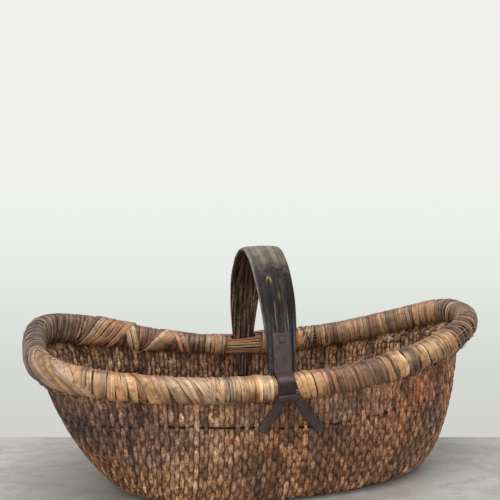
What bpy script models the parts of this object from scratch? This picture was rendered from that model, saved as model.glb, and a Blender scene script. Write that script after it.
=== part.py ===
"""Boat-shaped reed basket with a bound rim, a bent-wood handle and iron handle straps.

The frame has +X along the basket to its high end, -Y to its front and +Z up, with the
origin under the middle of the basket on the surface that it stands on. The rim is drawn
first, as a ring of stations. The woven body hangs from it, the hoop rods lie beside the
body's top edge, and the splints are wound round rods and edge through notches in the body.
"""
import math

import bpy
import bmesh
import numpy as np
from mathutils import Matrix, Vector

MM = 0.001

# Rim, seen from above: the centre line of the bound rim
RIM_HALF_LENGTH = 286 * MM
RIM_HALF_WIDTH = 116 * MM
RIM_LEFT_ROUNDNESS = 4.0
RIM_RIGHT_ROUNDNESS = 3.1
LEFT_END_BROADER_SHARE = 0.105

# Rim, seen from the front: height of its crest
RIM_CREST_HEIGHT = 167 * MM
LEFT_END_RISE = 36 * MM
LEFT_RISE_POWER = 1.73
RIGHT_END_RISE = 55 * MM
RIGHT_RISE_POWER = 2.28
CORNER_TWIST = 5 * MM

# Woven body
BASE_LEFT_HALF_LENGTH = 190 * MM
BASE_RIGHT_HALF_LENGTH = 236 * MM
BASE_HALF_WIDTH = 110 * MM
BASE_ROUNDNESS = 2.0
BASE_EDGE_RADIUS = 12 * MM
WALL_THICKNESS = 8 * MM
LEFT_WALL_BULGE = 1.3
RIGHT_WALL_BULGE = 1.9
SIDE_WALL_BULGE = 2.3
LEFT_END_FLARE = 11 * MM
RIGHT_END_FLARE = 16 * MM
FLARE_RUN_SHARE = 0.07
COLLAR_MARGIN = 3 * MM
FILLET_STEPS = 2
WALL_STEPS = 4

# Cord that binds the body at its waist
WAIST_HEIGHT = 103 * MM
WAIST_RISE_SHARE = 0.4
WAIST_CORD_DIAMETER = 2.5 * MM
WAIST_CORD_CLEARANCE = 0.6 * MM

# Hoops of the rim
RODS_PER_HOOP = 3
ROD_DIAMETER = 8 * MM
CAP_ROD_DIAMETER = 9 * MM
CLEARANCE = 0.3 * MM

# Splints wound round the rim
SPLINTS_PER_END = 12
TURNS_PER_SPLINT = 3
SPLINT_WIDTH = 10 * MM
SPLINT_THICKNESS = 1.3 * MM
SPLINT_CLEARANCE = 0.8 * MM
NOTCH_CLEARANCE = 0.6 * MM
BARE_RIM_LENGTH = 56 * MM
BULGE_RUN = 40 * MM
APEX_SHARE = 1.12

# Handle
HANDLE_CENTRE_OFFSET = 9.4 * MM
HANDLE_SKEW_SHARE = 0.025
HANDLE_TOP_HEIGHT = 308 * MM
HANDLE_SPRING_HEIGHT = 163 * MM
HANDLE_TOP_WIDTH = 48 * MM
HANDLE_FOOT_WIDTH = 30 * MM
HANDLE_THICKNESS = 5.5 * MM
HANDLE_CROWN = 1.2 * MM
ARCH_WIDTH_POWER = 1.8
ARCH_HEIGHT_POWER = 2.1
ARCH_STEPS = 20
TONGUE_LENGTH = 58 * MM
TONGUE_TIP_WIDTH = 13 * MM
TONGUE_THICKNESS = 4.5 * MM
TONGUE_STEPS = 4

# Iron strap, fork and rivet at each foot of the handle
IRON_THICKNESS = 2.2 * MM
PLATE_TOP_HEIGHT = 218 * MM
PLATE_WIDTH = 24 * MM
PLATE_FOOT_HEIGHT = 176 * MM
NECK_WIDTH = 22 * MM
EYE_WIDTH = 27 * MM
EYE_HEIGHT = 143 * MM
EYE_TURN = math.radians(300)
EYE_STEPS = 8
FORK_BAR_DIAMETER = 5 * MM
FORK_SHOULDER = 16 * MM
FORK_LEG_WIDTH = 10 * MM
FORK_LEG_THICKNESS = 4 * MM
FORK_LEFT_REACH = 29 * MM
FORK_RIGHT_REACH = 46 * MM
FORK_FOOT_HEIGHT = 95 * MM
LEG_FLAT_SHARES = (0.25, 0.8)
PRONG_SIZE = 4 * MM
PRONG_DEPTH_SHARE = 0.7
RIVET_HEIGHT = 209 * MM
RIVET_HEAD_DIAMETER = 9 * MM
RIVET_HEAD_HEIGHT = 3 * MM
RIVET_DOME_STEPS = 4
RIVET_SHANK_DIAMETER = 5 * MM
RIVET_TAIL_DIAMETER = 8 * MM
RIVET_TAIL_HEIGHT = 1.5 * MM
RIVET_PLAY = 0.6 * MM

# Mesh fineness
PLAN_SAMPLES = 5760
STATIONS_PER_END = 24
STATION_LENGTH = 75 * MM
STATION_TURN = math.radians(8)
ROUND_SIDES = 12
CUT_OVERRUN = 2 * MM
MERGE_LIMIT = 0.05 * MM

ROD_RADIUS = ROD_DIAMETER / 2
ROD_PITCH = ROD_DIAMETER + CLEARANCE
HOOP_OFFSET = WALL_THICKNESS / 2 + CLEARANCE + ROD_RADIUS
HOOP_FLOOR = -(RODS_PER_HOOP - 1) * ROD_PITCH - ROD_RADIUS
CAP_RADIUS = CAP_ROD_DIAMETER / 2
CAP_RISE = math.sqrt((ROD_RADIUS + CLEARANCE + CAP_RADIUS) ** 2 - HOOP_OFFSET ** 2)
WALL_TOP = CAP_RISE - CAP_RADIUS - CLEARANCE
TONGUE_BULGE = TONGUE_THICKNESS + CLEARANCE
NOTCH_FLOOR = HOOP_FLOOR - SPLINT_CLEARANCE - SPLINT_THICKNESS - NOTCH_CLEARANCE
COLLAR_FLOOR = NOTCH_FLOOR - COLLAR_MARGIN
HALF_BARE = BARE_RIM_LENGTH / 2
OCTAGON_SHARE = math.tan(math.pi / 8)


def lerp(start, end, share):
    return start + (end - start) * share


def smooth(share):
    """Ease from 0 to 1 with level ends."""
    share = min(max(share, 0.0), 1.0)
    return share * share * (3 - 2 * share)


def signed_power(value, power):
    return math.copysign(abs(value) ** power, value)


def splint_contour(clearance):
    """Offsets (outward, up) of the line that wraps the rods at this clearance."""
    reach = ROD_RADIUS + clearance
    corner = reach * OCTAGON_SHARE
    floor = HOOP_FLOOR + ROD_RADIUS
    apex = CAP_RISE + (CAP_RADIUS + clearance) * APEX_SHARE
    outer = [(HOOP_OFFSET + corner, floor - reach), (HOOP_OFFSET + reach, floor - corner),
             (HOOP_OFFSET + reach, corner), (HOOP_OFFSET + corner, reach)]
    inner = [(-out, up) for out, up in reversed(outer)]
    return outer + [(0.0, apex)] + inner


CREST_RISE = max(up for _, up in splint_contour(SPLINT_CLEARANCE + SPLINT_THICKNESS))


def egg(x):
    """The left end is broader than the right one."""
    return 1 - LEFT_END_BROADER_SHARE * x / RIM_HALF_LENGTH


def rim_point(angle):
    """Middle of the top hoop rods at this angle, counted from the high end's middle."""
    across, along = math.sin(angle), math.cos(angle)
    power = 2 / (RIM_RIGHT_ROUNDNESS if along >= 0 else RIM_LEFT_ROUNDNESS)
    x = RIM_HALF_LENGTH * signed_power(along, power)
    y = RIM_HALF_WIDTH * signed_power(across, power) * egg(x)
    share = x / RIM_HALF_LENGTH
    rise = (RIGHT_END_RISE * share ** RIGHT_RISE_POWER if share >= 0
            else LEFT_END_RISE * (-share) ** LEFT_RISE_POWER)
    twist = -CORNER_TWIST * share * y / RIM_HALF_WIDTH
    return Vector((x, y, RIM_CREST_HEIGHT - CREST_RISE + rise + twist))


def base_point(angle):
    power = 2 / BASE_ROUNDNESS
    reach = BASE_RIGHT_HALF_LENGTH if math.cos(angle) >= 0 else BASE_LEFT_HALF_LENGTH
    x = reach * signed_power(math.cos(angle), power)
    return Vector((x, BASE_HALF_WIDTH * signed_power(math.sin(angle), power) * egg(x), 0.0))


class Rim:
    """The rim as a ring of stations, from the handle's front foot round the high end."""

    def __init__(self):
        self.trace_plan()
        self.place_stations()
        self.frame_stations()

    def trace_plan(self):
        """Follow the rim finely, and find where the handle's feet stand."""
        foot = HANDLE_CENTRE_OFFSET + HANDLE_SKEW_SHARE * RIM_HALF_WIDTH
        start = self.angle_at(foot, -math.pi / 2)
        self.angles = start + np.linspace(0, 2 * math.pi, PLAN_SAMPLES + 1)
        points = np.array([rim_point(angle) for angle in self.angles])
        steps = np.diff(points, axis=0)
        self.lengths = np.concatenate([[0], np.cumsum(np.linalg.norm(steps, axis=1))])
        heading = np.unwrap(np.arctan2(steps[:, 1], steps[:, 0]))
        self.heading = np.concatenate([heading, [heading[0] + 2 * math.pi]])
        rear = self.angle_at(foot - 2 * HANDLE_SKEW_SHARE * RIM_HALF_WIDTH, math.pi / 2)
        self.total = float(self.lengths[-1])
        self.rear = float(np.interp(rear, self.angles, self.lengths))

    @staticmethod
    def angle_at(x, middle):
        """Angle near this middle at which the rim passes x."""
        low, high = middle - math.pi / 4, middle + math.pi / 4
        sign = 1 if rim_point(high).x > rim_point(low).x else -1
        for _ in range(50):
            centre = (low + high) / 2
            if (rim_point(centre).x - x) * sign < 0:
                low = centre
            else:
                high = centre
        return (low + high) / 2

    def place_stations(self):
        """Space the stations by length and by turning, with none along the bare rim."""
        measure = self.lengths / STATION_LENGTH + (self.heading - self.heading[0]) / STATION_TURN
        self.at = []
        for low, high in ((HALF_BARE, self.rear - HALF_BARE),
                          (self.rear + HALF_BARE, self.total - HALF_BARE)):
            first, last = np.interp([low, high], self.lengths, measure)
            marks = np.linspace(first, last, STATIONS_PER_END + 1)
            self.at += [float(s) for s in np.interp(marks, measure, self.lengths)]
        self.station_angles = [float(a) for a in np.interp(self.at, self.lengths, self.angles)]
        self.points = [rim_point(angle) for angle in self.station_angles]

    def frame_stations(self):
        """Outward and up vectors whose offsets keep the chords of the rim parallel."""
        self.outward, self.up = [], []
        count = len(self.points)
        for i, point in enumerate(self.points):
            before = (point - self.points[i - 1]).normalized()
            after = (self.points[(i + 1) % count] - point).normalized()
            along = (before + after).normalized()
            side = along.cross(Vector((0, 0, 1))).normalized()
            half_turn = before.xy.angle(after.xy) / 2
            self.outward.append(side / math.cos(half_turn))
            self.up.append(side.cross(along).normalized())

    def bulge(self, station):
        """How far the inner hoop springs inwards to let the handle's tongues pass."""
        s = self.at[station]
        far = min(s, abs(s - self.rear), self.total - s) - HALF_BARE
        return TONGUE_BULGE * (1 - smooth(far / BULGE_RUN))

    def offset(self, station, out, up):
        shift = -self.bulge(station) if out < 0 else 0.0
        return (self.points[station] + self.outward[station] * (out + shift)
                + self.up[station] * up)

    def place(self, s, out, up):
        """Point at this length along the rim, between the offsets of two stations."""
        s %= self.total
        after = int(np.searchsorted(self.at, s)) % len(self.at)
        start, end = self.at[after - 1], self.at[after]
        share = ((s - start) % self.total) / ((end - start) % self.total)
        return lerp(self.offset(after - 1, out, up), self.offset(after, out, up), share)

    def frame(self, s):
        """Point on the wall's middle with its along, outward and up directions."""
        here = self.place(s, 0, 0)
        reach = SPLINT_WIDTH / 2
        along = (self.place(s + reach, 0, 0) - self.place(s - reach, 0, 0)).normalized()
        outward = along.cross(Vector((0, 0, 1))).normalized()
        return here, along, outward, outward.cross(along)


RIM = Rim()


def material(name, colour, roughness, metallic=0.0):
    made = bpy.data.materials.new(name)
    made.use_nodes = True
    shader = made.node_tree.nodes["Principled BSDF"]
    shader.inputs["Base Color"].default_value = (*colour, 1)
    shader.inputs["Roughness"].default_value = roughness
    shader.inputs["Metallic"].default_value = metallic
    return made


def add_object(name, data, colour, roughness, metallic=0.0):
    piece = bpy.data.objects.new(name, data)
    PARTS.objects.link(piece)
    piece.parent = ROOT
    data.materials.append(material(name, colour, roughness, metallic))
    return piece


def mesh_from(name, build):
    """Make a mesh by letting a function draw into a bmesh."""
    drawing = bmesh.new()
    build(drawing)
    bmesh.ops.recalc_face_normals(drawing, faces=drawing.faces)
    mesh = bpy.data.meshes.new(name)
    drawing.to_mesh(mesh)
    drawing.free()
    return mesh


def loft_mesh(name, rings, capped_end=True):
    """Skin a row of rings, with a face over the first and, if asked, the last."""
    def build(drawing):
        loops = [[drawing.verts.new(point) for point in ring] for ring in rings]
        count = len(loops[0])
        for low, high in zip(loops, loops[1:]):
            for i in range(count):
                j = (i + 1) % count
                drawing.faces.new((low[i], low[j], high[j], high[i]))
        drawing.faces.new(loops[0])
        if capped_end:
            drawing.faces.new(loops[-1])
    return mesh_from(name, build)


def swept_rings(points, sides, sections):
    """Place a section of (side, depth) pairs at each point, mitred at the bends."""
    rings = []
    last = len(points) - 1
    for i, point in enumerate(points):
        before = (point - points[max(i - 1, 0)]).normalized()
        after = (points[min(i + 1, last)] - point).normalized()
        along = (before + after).normalized()
        side = (sides[i] - along * sides[i].dot(along)).normalized()
        depth = along.cross(side)
        bend = (after - before) / 2 if 0 < i < last else Vector()
        widen = 1 / math.sqrt(1 - bend.dot(side) ** 2)
        deepen = 1 / math.sqrt(1 - bend.dot(depth) ** 2)
        rings.append([point + side * (u * widen) + depth * (v * deepen)
                      for u, v in sections[i]])
    return rings


def flat_section(width, low, high):
    half = width / 2
    return [(-half, low), (half, low), (half, high), (-half, high)]


def cut_corner_section(width, depth):
    """Flat bar with its corners cut, as a row of points round its middle."""
    cut = min(width, depth) * (1 - OCTAGON_SHARE) / 2
    u, v = width / 2, depth / 2
    corners = [(u, v - cut), (u - cut, v)]
    corners += [(-a, b) for a, b in reversed(corners)]
    return corners + [(-a, -b) for a, b in corners]


def tube(name, points, diameter, closed, colour, sides=6):
    """Round rod along points, as a bevelled curve."""
    curve = bpy.data.curves.new(name, "CURVE")
    curve.dimensions = "3D"
    curve.twist_mode = "Z_UP"
    curve.bevel_depth = diameter / 2
    curve.bevel_resolution = (sides - 4) // 2
    curve.use_fill_caps = not closed
    line = curve.splines.new("POLY")
    line.points.add(len(points) - 1)
    for slot, point in zip(line.points, points):
        slot.co = (*point, 1)
    line.use_cyclic_u = closed
    return add_object(name, curve, colour, 0.7)


def add_cutter(name, mesh, *pieces):
    """Keep a cutting shape apart, and subtract it from each piece."""
    cutter = bpy.data.objects.new(name, mesh)
    CUTTERS.objects.link(cutter)
    cutter.hide_render = True
    cutter.display_type = "WIRE"
    for piece in pieces:
        cut = piece.modifiers.new("cut_" + name, "BOOLEAN")
        cut.object = cutter
        cut.solver = "EXACT"
        cut.operation = "DIFFERENCE"


def axes_matrix(origin, x_axis, y_axis, z_axis):
    return Matrix.Translation(origin) @ Matrix((x_axis, y_axis, z_axis)).transposed().to_4x4()


def wall_share(share, bulge):
    """How far the wall has leaned out at this share of its height."""
    return (1 - (1 - share) ** bulge) ** (1 / bulge)


def wall_point(station, height_share):
    """Outer surface of the woven wall, under one station of the rim."""
    top = RIM.offset(station, WALL_THICKNESS / 2, COLLAR_FLOOR)
    base = base_point(RIM.station_angles[station])
    height = top.z * height_share
    right = math.cos(RIM.station_angles[station]) >= 0
    bulge, flare = ((RIGHT_WALL_BULGE, -RIGHT_END_FLARE) if right
                    else (LEFT_WALL_BULGE, LEFT_END_FLARE))
    point = Vector((lerp(base.x, top.x, wall_share(height_share, bulge)),
                    lerp(base.y, top.y, wall_share(height_share, SIDE_WALL_BULGE)), height))
    point.x += flare * (top.x / RIM_HALF_LENGTH) ** 2 * smooth((1 - height_share) / FLARE_RUN_SHARE)
    gap = max(BASE_EDGE_RADIUS - height, 0.0)
    inset = BASE_EDGE_RADIUS - math.sqrt(BASE_EDGE_RADIUS ** 2 - gap ** 2)
    return point - RIM.outward[station] * inset


def wall_shares(station):
    """Heights of the wall's rings as shares: rounded base edge, even steps, flare to the rim."""
    edge = BASE_EDGE_RADIUS / RIM.offset(station, WALL_THICKNESS / 2, COLLAR_FLOOR).z
    fillet = [edge * (1 - math.cos(math.pi / 2 * i / FILLET_STEPS))
              for i in range(FILLET_STEPS)]
    steps = [lerp(edge, 1 - FLARE_RUN_SHARE, i / WALL_STEPS) for i in range(WALL_STEPS + 1)]
    return fillet + steps + [1.0]


def turn_marks():
    """Lengths along the rim at which the splints pass through the body, per end."""
    marks = []
    turns = SPLINTS_PER_END * TURNS_PER_SPLINT
    for low, high in ((HALF_BARE, RIM.rear - HALF_BARE),
                      (RIM.rear + HALF_BARE, RIM.total - HALF_BARE)):
        margin = SPLINT_WIDTH / 2
        marks.append([lerp(low + margin, high - margin, i / turns) for i in range(turns + 1)])
    return marks


def build_woven_body():
    """Shell whose top edge stands as stake ends between the two hoops."""
    stations = range(len(RIM.points))
    shares = [wall_shares(i) for i in stations]
    rings = [[wall_point(i, shares[i][row]) for i in stations] for row in range(len(shares[0]))]
    rings.append([RIM.offset(i, WALL_THICKNESS / 2, WALL_TOP) for i in stations])
    body = add_object("woven_body", loft_mesh("woven_body", rings, capped_end=False),
                      (0.20, 0.13, 0.08), 0.85)
    shell = body.modifiers.new("wall", "SOLIDIFY")
    shell.thickness = WALL_THICKNESS
    shell.offset = -1
    shell.use_even_offset = True

    def notches(drawing):
        width = SPLINT_WIDTH + 2 * NOTCH_CLEARANCE
        depth = WALL_THICKNESS + 2 * CUT_OVERRUN
        for s in [mark for marks in turn_marks() for mark in marks]:
            for corner in bmesh.ops.create_cube(drawing, size=1)["verts"]:
                x, y, z = corner.co
                level = NOTCH_FLOOR if z < 0 else WALL_TOP + CUT_OVERRUN
                corner.co = RIM.place(s + x * width, y * depth, level)
    add_cutter("splint_notches", mesh_from("splint_notches", notches), body)
    return body


def build_waist_cord():
    """Cord round the outside of the wall, on the facets between the rings."""
    points = []
    for i in range(len(RIM.points)):
        level = WAIST_HEIGHT + WAIST_RISE_SHARE * (RIM.points[i].z - RIM_CREST_HEIGHT
                                                   + CREST_RISE)
        shares = wall_shares(i)
        column = [wall_point(i, share) for share in shares]
        upper = next(k for k, point in enumerate(column) if point.z > level)
        low, high = column[upper - 1], column[upper]
        point = lerp(low, high, (level - low.z) / (high.z - low.z))
        points.append(point + RIM.outward[i] * (WAIST_CORD_DIAMETER / 2 + WAIST_CORD_CLEARANCE))
    tube("waist_cord", points, WAIST_CORD_DIAMETER, True, (0.03, 0.02, 0.015), sides=4)


def build_hoops():
    """Stacked rods outside and inside the body's edge, and cap rods over the edge."""
    stations = range(len(RIM.points))
    for side, name in ((1, "outer"), (-1, "inner")):
        for row in range(RODS_PER_HOOP):
            points = [RIM.offset(i, side * HOOP_OFFSET, -row * ROD_PITCH) for i in stations]
            tube(f"{name}_hoop_rod_{row + 1}", points, ROD_DIAMETER, True, (0.30, 0.22, 0.15))
    for end, name in enumerate(("right", "left")):
        first = end * (STATIONS_PER_END + 1)
        points = [RIM.offset(first + i, 0, CAP_RISE) for i in range(STATIONS_PER_END + 1)]
        tube(f"cap_rod_{name}", points, CAP_ROD_DIAMETER, False, (0.30, 0.22, 0.15))


def splint_path(marks):
    """Stops (length along the rim, contour point) of one splint, from notch to notch."""
    contour = splint_contour(SPLINT_CLEARANCE)
    run = [0.0]
    for (out_a, up_a), (out_b, up_b) in zip(contour, contour[1:]):
        run.append(run[-1] + math.hypot(out_b - out_a, up_b - up_a))
    stops = []
    for start, end in zip(marks, marks[1:]):
        stops += [(lerp(start, end, length / run[-1]), k) for k, length in enumerate(run)]
    return stops


def build_splint(number, marks):
    """Flat splint wound helically round rods and cap, its ends tucked under the wall."""
    inside = splint_contour(SPLINT_CLEARANCE)
    outside = splint_contour(SPLINT_CLEARANCE + SPLINT_THICKNESS)
    half = SPLINT_WIDTH / 2

    def ring(s, near, far):
        corners = ((-half, near), (half, near), (half, far), (-half, far))
        return [RIM.place(s + shift, *point) for shift, point in corners]

    def tucked_end(s, out):
        return ring(s, (out, inside[0][1]), (out, outside[0][1]))

    rings = [tucked_end(marks[0], CLEARANCE)]
    rings += [ring(s, inside[k], outside[k]) for s, k in splint_path(marks)]
    rings.append(tucked_end(marks[-1], -CLEARANCE))
    name = f"rim_splint_{number:02d}"
    tone = 0.5 + 0.1 * (number % 3)
    add_object(name, loft_mesh(name, rings), (tone, tone * 0.72, tone * 0.48), 0.55)


def build_splints():
    number = 1
    for marks in turn_marks():
        for i in range(SPLINTS_PER_END):
            first = i * TURNS_PER_SPLINT
            build_splint(number, marks[first:first + TURNS_PER_SPLINT + 1])
            number += 1


class Handle:
    """Line of the handle's outer face, from the tip of the front tongue to the rear one."""

    def __init__(self):
        self.feet = []
        for s, turn in ((0.0, 1), (RIM.rear, -1)):
            here, along, outward, up = RIM.frame(s)
            foot = here - outward * (WALL_THICKNESS / 2 + CLEARANCE)
            self.feet.append((foot + up * ((HANDLE_SPRING_HEIGHT - foot.z) / up.z), along * turn, up))
        front, rear = self.feet[0][0], self.feet[1][0]
        self.points, self.sides, self.shares = [], [], []
        for i in range(ARCH_STEPS + 1):
            self.add_arch_point(front, rear, math.pi * i / ARCH_STEPS)
        tongue = [TONGUE_LENGTH * (k + 1) / TONGUE_STEPS for k in range(TONGUE_STEPS)]
        for foot, side, up in self.feet[:1]:
            self.points[:0] = [foot - up * drop for drop in reversed(tongue)]
            self.sides[:0] = [side] * TONGUE_STEPS
        for foot, side, up in self.feet[1:]:
            self.points += [foot - up * drop for drop in tongue]
            self.sides += [side] * TONGUE_STEPS

    def add_arch_point(self, front, rear, angle):
        sweep = (1 - signed_power(math.cos(angle), 2 / ARCH_WIDTH_POWER)) / 2
        climb = abs(math.sin(angle)) ** (2 / ARCH_HEIGHT_POWER)
        point = lerp(front, rear, sweep)
        point.z = lerp(HANDLE_SPRING_HEIGHT, HANDLE_TOP_HEIGHT, climb)
        side = self.feet[0 if angle < math.pi / 2 else 1][1]
        self.points.append(point)
        self.sides.append(lerp(side, Vector((1, 0, 0)), smooth(climb)).normalized())

    def section(self, point):
        """Crowned strap above the rim, thin flat tongue below it."""
        spring, top = HANDLE_SPRING_HEIGHT, HANDLE_TOP_HEIGHT
        climb = (point.z - spring) / (top - spring)
        if climb < 0:
            drop = smooth((spring - point.z) / TONGUE_LENGTH)
            width = lerp(HANDLE_FOOT_WIDTH, TONGUE_TIP_WIDTH, drop)
        else:
            width = lerp(HANDLE_FOOT_WIDTH, HANDLE_TOP_WIDTH, math.sin(climb * math.pi / 2))
        above = smooth((point.z - RIM_CREST_HEIGHT) / (PLATE_FOOT_HEIGHT - RIM_CREST_HEIGHT))
        depth = lerp(TONGUE_THICKNESS, HANDLE_THICKNESS, above)
        crown = HANDLE_CROWN * smooth((point.z - PLATE_TOP_HEIGHT) / (top - PLATE_TOP_HEIGHT) * 2)
        half, edge = width / 2, depth / 4
        return [(-half + edge, 0), (0, -crown), (half - edge, 0), (half, edge),
                (half, depth - edge), (half - edge, depth), (-half + edge, depth),
                (-half, depth - edge), (-half, edge)]

    def face_at(self, height, foot):
        """Point of the outer face at this height above a foot, and its outward normal."""
        line = self.points if foot == 0 else self.points[::-1]
        k = next(i for i, point in enumerate(line) if point.z > height)
        low, high = line[k - 1], line[k]
        along = self.feet[foot][1]
        normal = (high - low).cross(along).normalized() * (-1 if foot == 0 else 1)
        return lerp(low, high, (height - low.z) / (high.z - low.z)), normal

    def face_down(self, top, bottom, foot):
        """Points of the outer face from one height down to another."""
        line = self.points if foot == 0 else self.points[::-1]
        arch = line[TONGUE_STEPS:TONGUE_STEPS + ARCH_STEPS // 2]
        between = [point for point in reversed(arch) if bottom < point.z < top]
        return [self.face_at(top, foot)[0]] + between + [self.face_at(bottom, foot)[0]]


def build_handle(handle):
    sections = [handle.section(point) for point in handle.points]
    rings = swept_rings(handle.points, handle.sides, sections)
    return add_object("handle_bow", loft_mesh("handle_bow", rings), (0.045, 0.038, 0.034), 0.5)


class Foot:
    """Local axes where a foot of the handle crosses the rim."""

    def __init__(self, index):
        self.index = index
        self.here, self.along, self.outward, self.up = RIM.frame((0.0, RIM.rear)[index])

    def at(self, along, out, up):
        return self.here + self.along * along + self.outward * out + self.up * up

    def up_to(self, height):
        return (height - self.here.z) / self.up.z


def eye_radius():
    """Radius of the eye's inner corners, whose flats clear the fork's bar."""
    bar = FORK_BAR_DIAMETER / 2 / math.cos(math.pi / 8)
    return (bar + CLEARANCE) / math.cos(EYE_TURN / EYE_STEPS / 2)


def eye_centre(foot):
    """Outward and up offsets of the middle of the strap's rolled eye."""
    face = HOOP_OFFSET + ROD_RADIUS + CLEARANCE
    return face + IRON_THICKNESS + eye_radius(), foot.up_to(EYE_HEIGHT)


def build_strap(handle, foot, name):
    """Iron strap: plate down the handle, neck over the outer hoop, end rolled to an eye."""
    plate = handle.face_down(PLATE_TOP_HEIGHT, PLATE_FOOT_HEIGHT, foot.index)
    hoop_top = ROD_RADIUS
    hoop_side = HOOP_OFFSET + ROD_RADIUS
    corner = ROD_RADIUS * OCTAGON_SHARE
    neck = [foot.at(0, 0, hoop_top + CLEARANCE + IRON_THICKNESS),
            foot.at(0, HOOP_OFFSET + corner, hoop_top), foot.at(0, hoop_side, corner)]
    points = plate + neck
    widths = [PLATE_WIDTH] * len(plate) + [NECK_WIDTH] * len(neck)
    depths = [(CLEARANCE, CLEARANCE + IRON_THICKNESS)] * len(points)
    centre_out, centre_up = eye_centre(foot)
    roll = eye_radius()
    for k in range(EYE_STEPS + 1):
        angle = math.pi + EYE_TURN * k / EYE_STEPS
        points.append(foot.at(0, centre_out + roll * math.cos(angle),
                              centre_up + roll * math.sin(angle)))
        widths.append(EYE_WIDTH)
        depths.append((-IRON_THICKNESS, 0.0))
    sections = [flat_section(w, low, high) for w, (low, high) in zip(widths, depths)]
    rings = swept_rings(points, [foot.along] * len(points), sections)
    return add_object(name, loft_mesh(name, rings), (0.09, 0.075, 0.075), 0.6, 0.6)


def fork_foot_out():
    """Outward offset of the legs' middle where they rest on the waist cord."""
    cord = WALL_THICKNESS / 2 + WAIST_CORD_CLEARANCE + WAIST_CORD_DIAMETER
    return cord + CLEARANCE + FORK_LEG_THICKNESS / 2


def build_fork(foot, body, name):
    """Forked iron: a bar through the eye and two legs whose prongs enter the wall."""
    out, up = eye_centre(foot)
    foot_out, foot_up = fork_foot_out(), foot.up_to(FORK_FOOT_HEIGHT)
    tip_out = WALL_THICKNESS / 2 - WALL_THICKNESS * PRONG_DEPTH_SHARE
    knee = PRONG_SIZE / 2
    legs = []
    for reach in (-FORK_LEFT_REACH, FORK_RIGHT_REACH):
        shoulder = (math.copysign(FORK_SHOULDER, reach), out, up)
        leg = [((reach, tip_out, foot_up), PRONG_SIZE, PRONG_SIZE),
               ((reach, foot_out - knee, foot_up), PRONG_SIZE, PRONG_SIZE),
               ((reach, foot_out, foot_up + knee), PRONG_SIZE, PRONG_SIZE)]
        for share in LEG_FLAT_SHARES:
            place = [lerp(a, b, share) for a, b in zip((reach, foot_out, foot_up), shoulder)]
            leg.append((place, FORK_LEG_WIDTH, FORK_LEG_THICKNESS))
        legs.append(leg + [(shoulder, FORK_BAR_DIAMETER, FORK_BAR_DIAMETER)])
    stops = legs[0] + legs[1][::-1]
    points = [foot.at(*place) for place, _, _ in stops]
    sides, side = [], foot.along
    for i, point in enumerate(points):
        along = (points[min(i + 1, len(points) - 1)] - points[max(i - 1, 0)]).normalized()
        side = (side - along * side.dot(along)).normalized()
        sides.append(side)
    sections = [cut_corner_section(width, depth) for _, width, depth in stops]
    rings = swept_rings(points, sides, sections)
    fork = add_object(name, loft_mesh(name, rings), (0.09, 0.075, 0.075), 0.6, 0.6)

    def holes(drawing):
        radius = PRONG_SIZE / 2 / math.cos(math.pi / 8) / math.cos(math.pi / 8) + CLEARANCE
        for reach in (-FORK_LEFT_REACH, FORK_RIGHT_REACH):
            middle = foot.at(reach, 0, foot_up)
            turn = axes_matrix(middle, foot.along, foot.up, foot.outward)
            bmesh.ops.create_cone(drawing, cap_ends=True, segments=8, radius1=radius,
                                  radius2=radius, depth=WALL_THICKNESS + 4 * CUT_OVERRUN,
                                  matrix=turn)
    add_cutter(name + "_holes", mesh_from(name + "_holes", holes), body)
    return fork


def build_rivet(handle, foot, strap, bow, name):
    """Rivet through the strap's plate and the handle, turned about its own axis."""
    face, normal = handle.face_at(RIVET_HEIGHT, foot.index)
    plate_top = CLEARANCE + IRON_THICKNESS + CLEARANCE
    back = -(HANDLE_THICKNESS + RIVET_PLAY)
    head, tail = RIVET_HEAD_DIAMETER / 2, RIVET_TAIL_DIAMETER / 2
    shank = RIVET_SHANK_DIAMETER / 2
    dome = [(head * math.sin(angle), plate_top + RIVET_HEAD_HEIGHT * math.cos(angle))
            for angle in (math.pi / 2 * k / RIVET_DOME_STEPS
                          for k in range(RIVET_DOME_STEPS + 1))]
    profile = dome + [(shank, plate_top), (shank, back), (tail, back),
                      (tail, back - RIVET_TAIL_HEIGHT), (0, back - RIVET_TAIL_HEIGHT)]

    def outline(drawing):
        line = [drawing.verts.new((radius, 0, level)) for radius, level in profile]
        for pair in zip(line, line[1:]):
            drawing.edges.new(pair)
    rivet = add_object(name, mesh_from(name, outline), (0.09, 0.075, 0.075), 0.55, 0.6)
    turn = rivet.modifiers.new("turn", "SCREW")
    turn.steps = turn.render_steps = ROUND_SIDES
    turn.use_merge_vertices = True
    turn.merge_threshold = MERGE_LIMIT
    tilt = normal.to_track_quat("Z", "Y").to_matrix().to_4x4()
    rivet.matrix_world = Matrix.Translation(face) @ tilt

    def hole(drawing):
        radius = (shank + CLEARANCE) / math.cos(math.pi / ROUND_SIDES)
        bmesh.ops.create_cone(drawing, cap_ends=True, segments=ROUND_SIDES, radius1=radius,
                              radius2=radius, depth=4 * HANDLE_THICKNESS,
                              matrix=rivet.matrix_world)
    add_cutter(name + "_hole", mesh_from(name + "_hole", hole), strap, bow)


def clear_scene():
    for old in list(bpy.data.objects):
        bpy.data.objects.remove(old, do_unlink=True)


def new_collection(name):
    made = bpy.data.collections.new(name)
    bpy.context.scene.collection.children.link(made)
    return made


clear_scene()
PARTS = new_collection("reed_basket")
CUTTERS = new_collection("cutters")
ROOT = bpy.data.objects.new("basket_frame", None)
PARTS.objects.link(ROOT)


def main():
    body = build_woven_body()
    build_waist_cord()
    build_hoops()
    build_splints()
    handle = Handle()
    bow = build_handle(handle)
    for index, side in enumerate(("front", "rear")):
        foot = Foot(index)
        strap = build_strap(handle, foot, f"{side}_strap")
        build_fork(foot, body, f"{side}_fork")
        build_rivet(handle, foot, strap, bow, f"{side}_rivet")


main()
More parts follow.
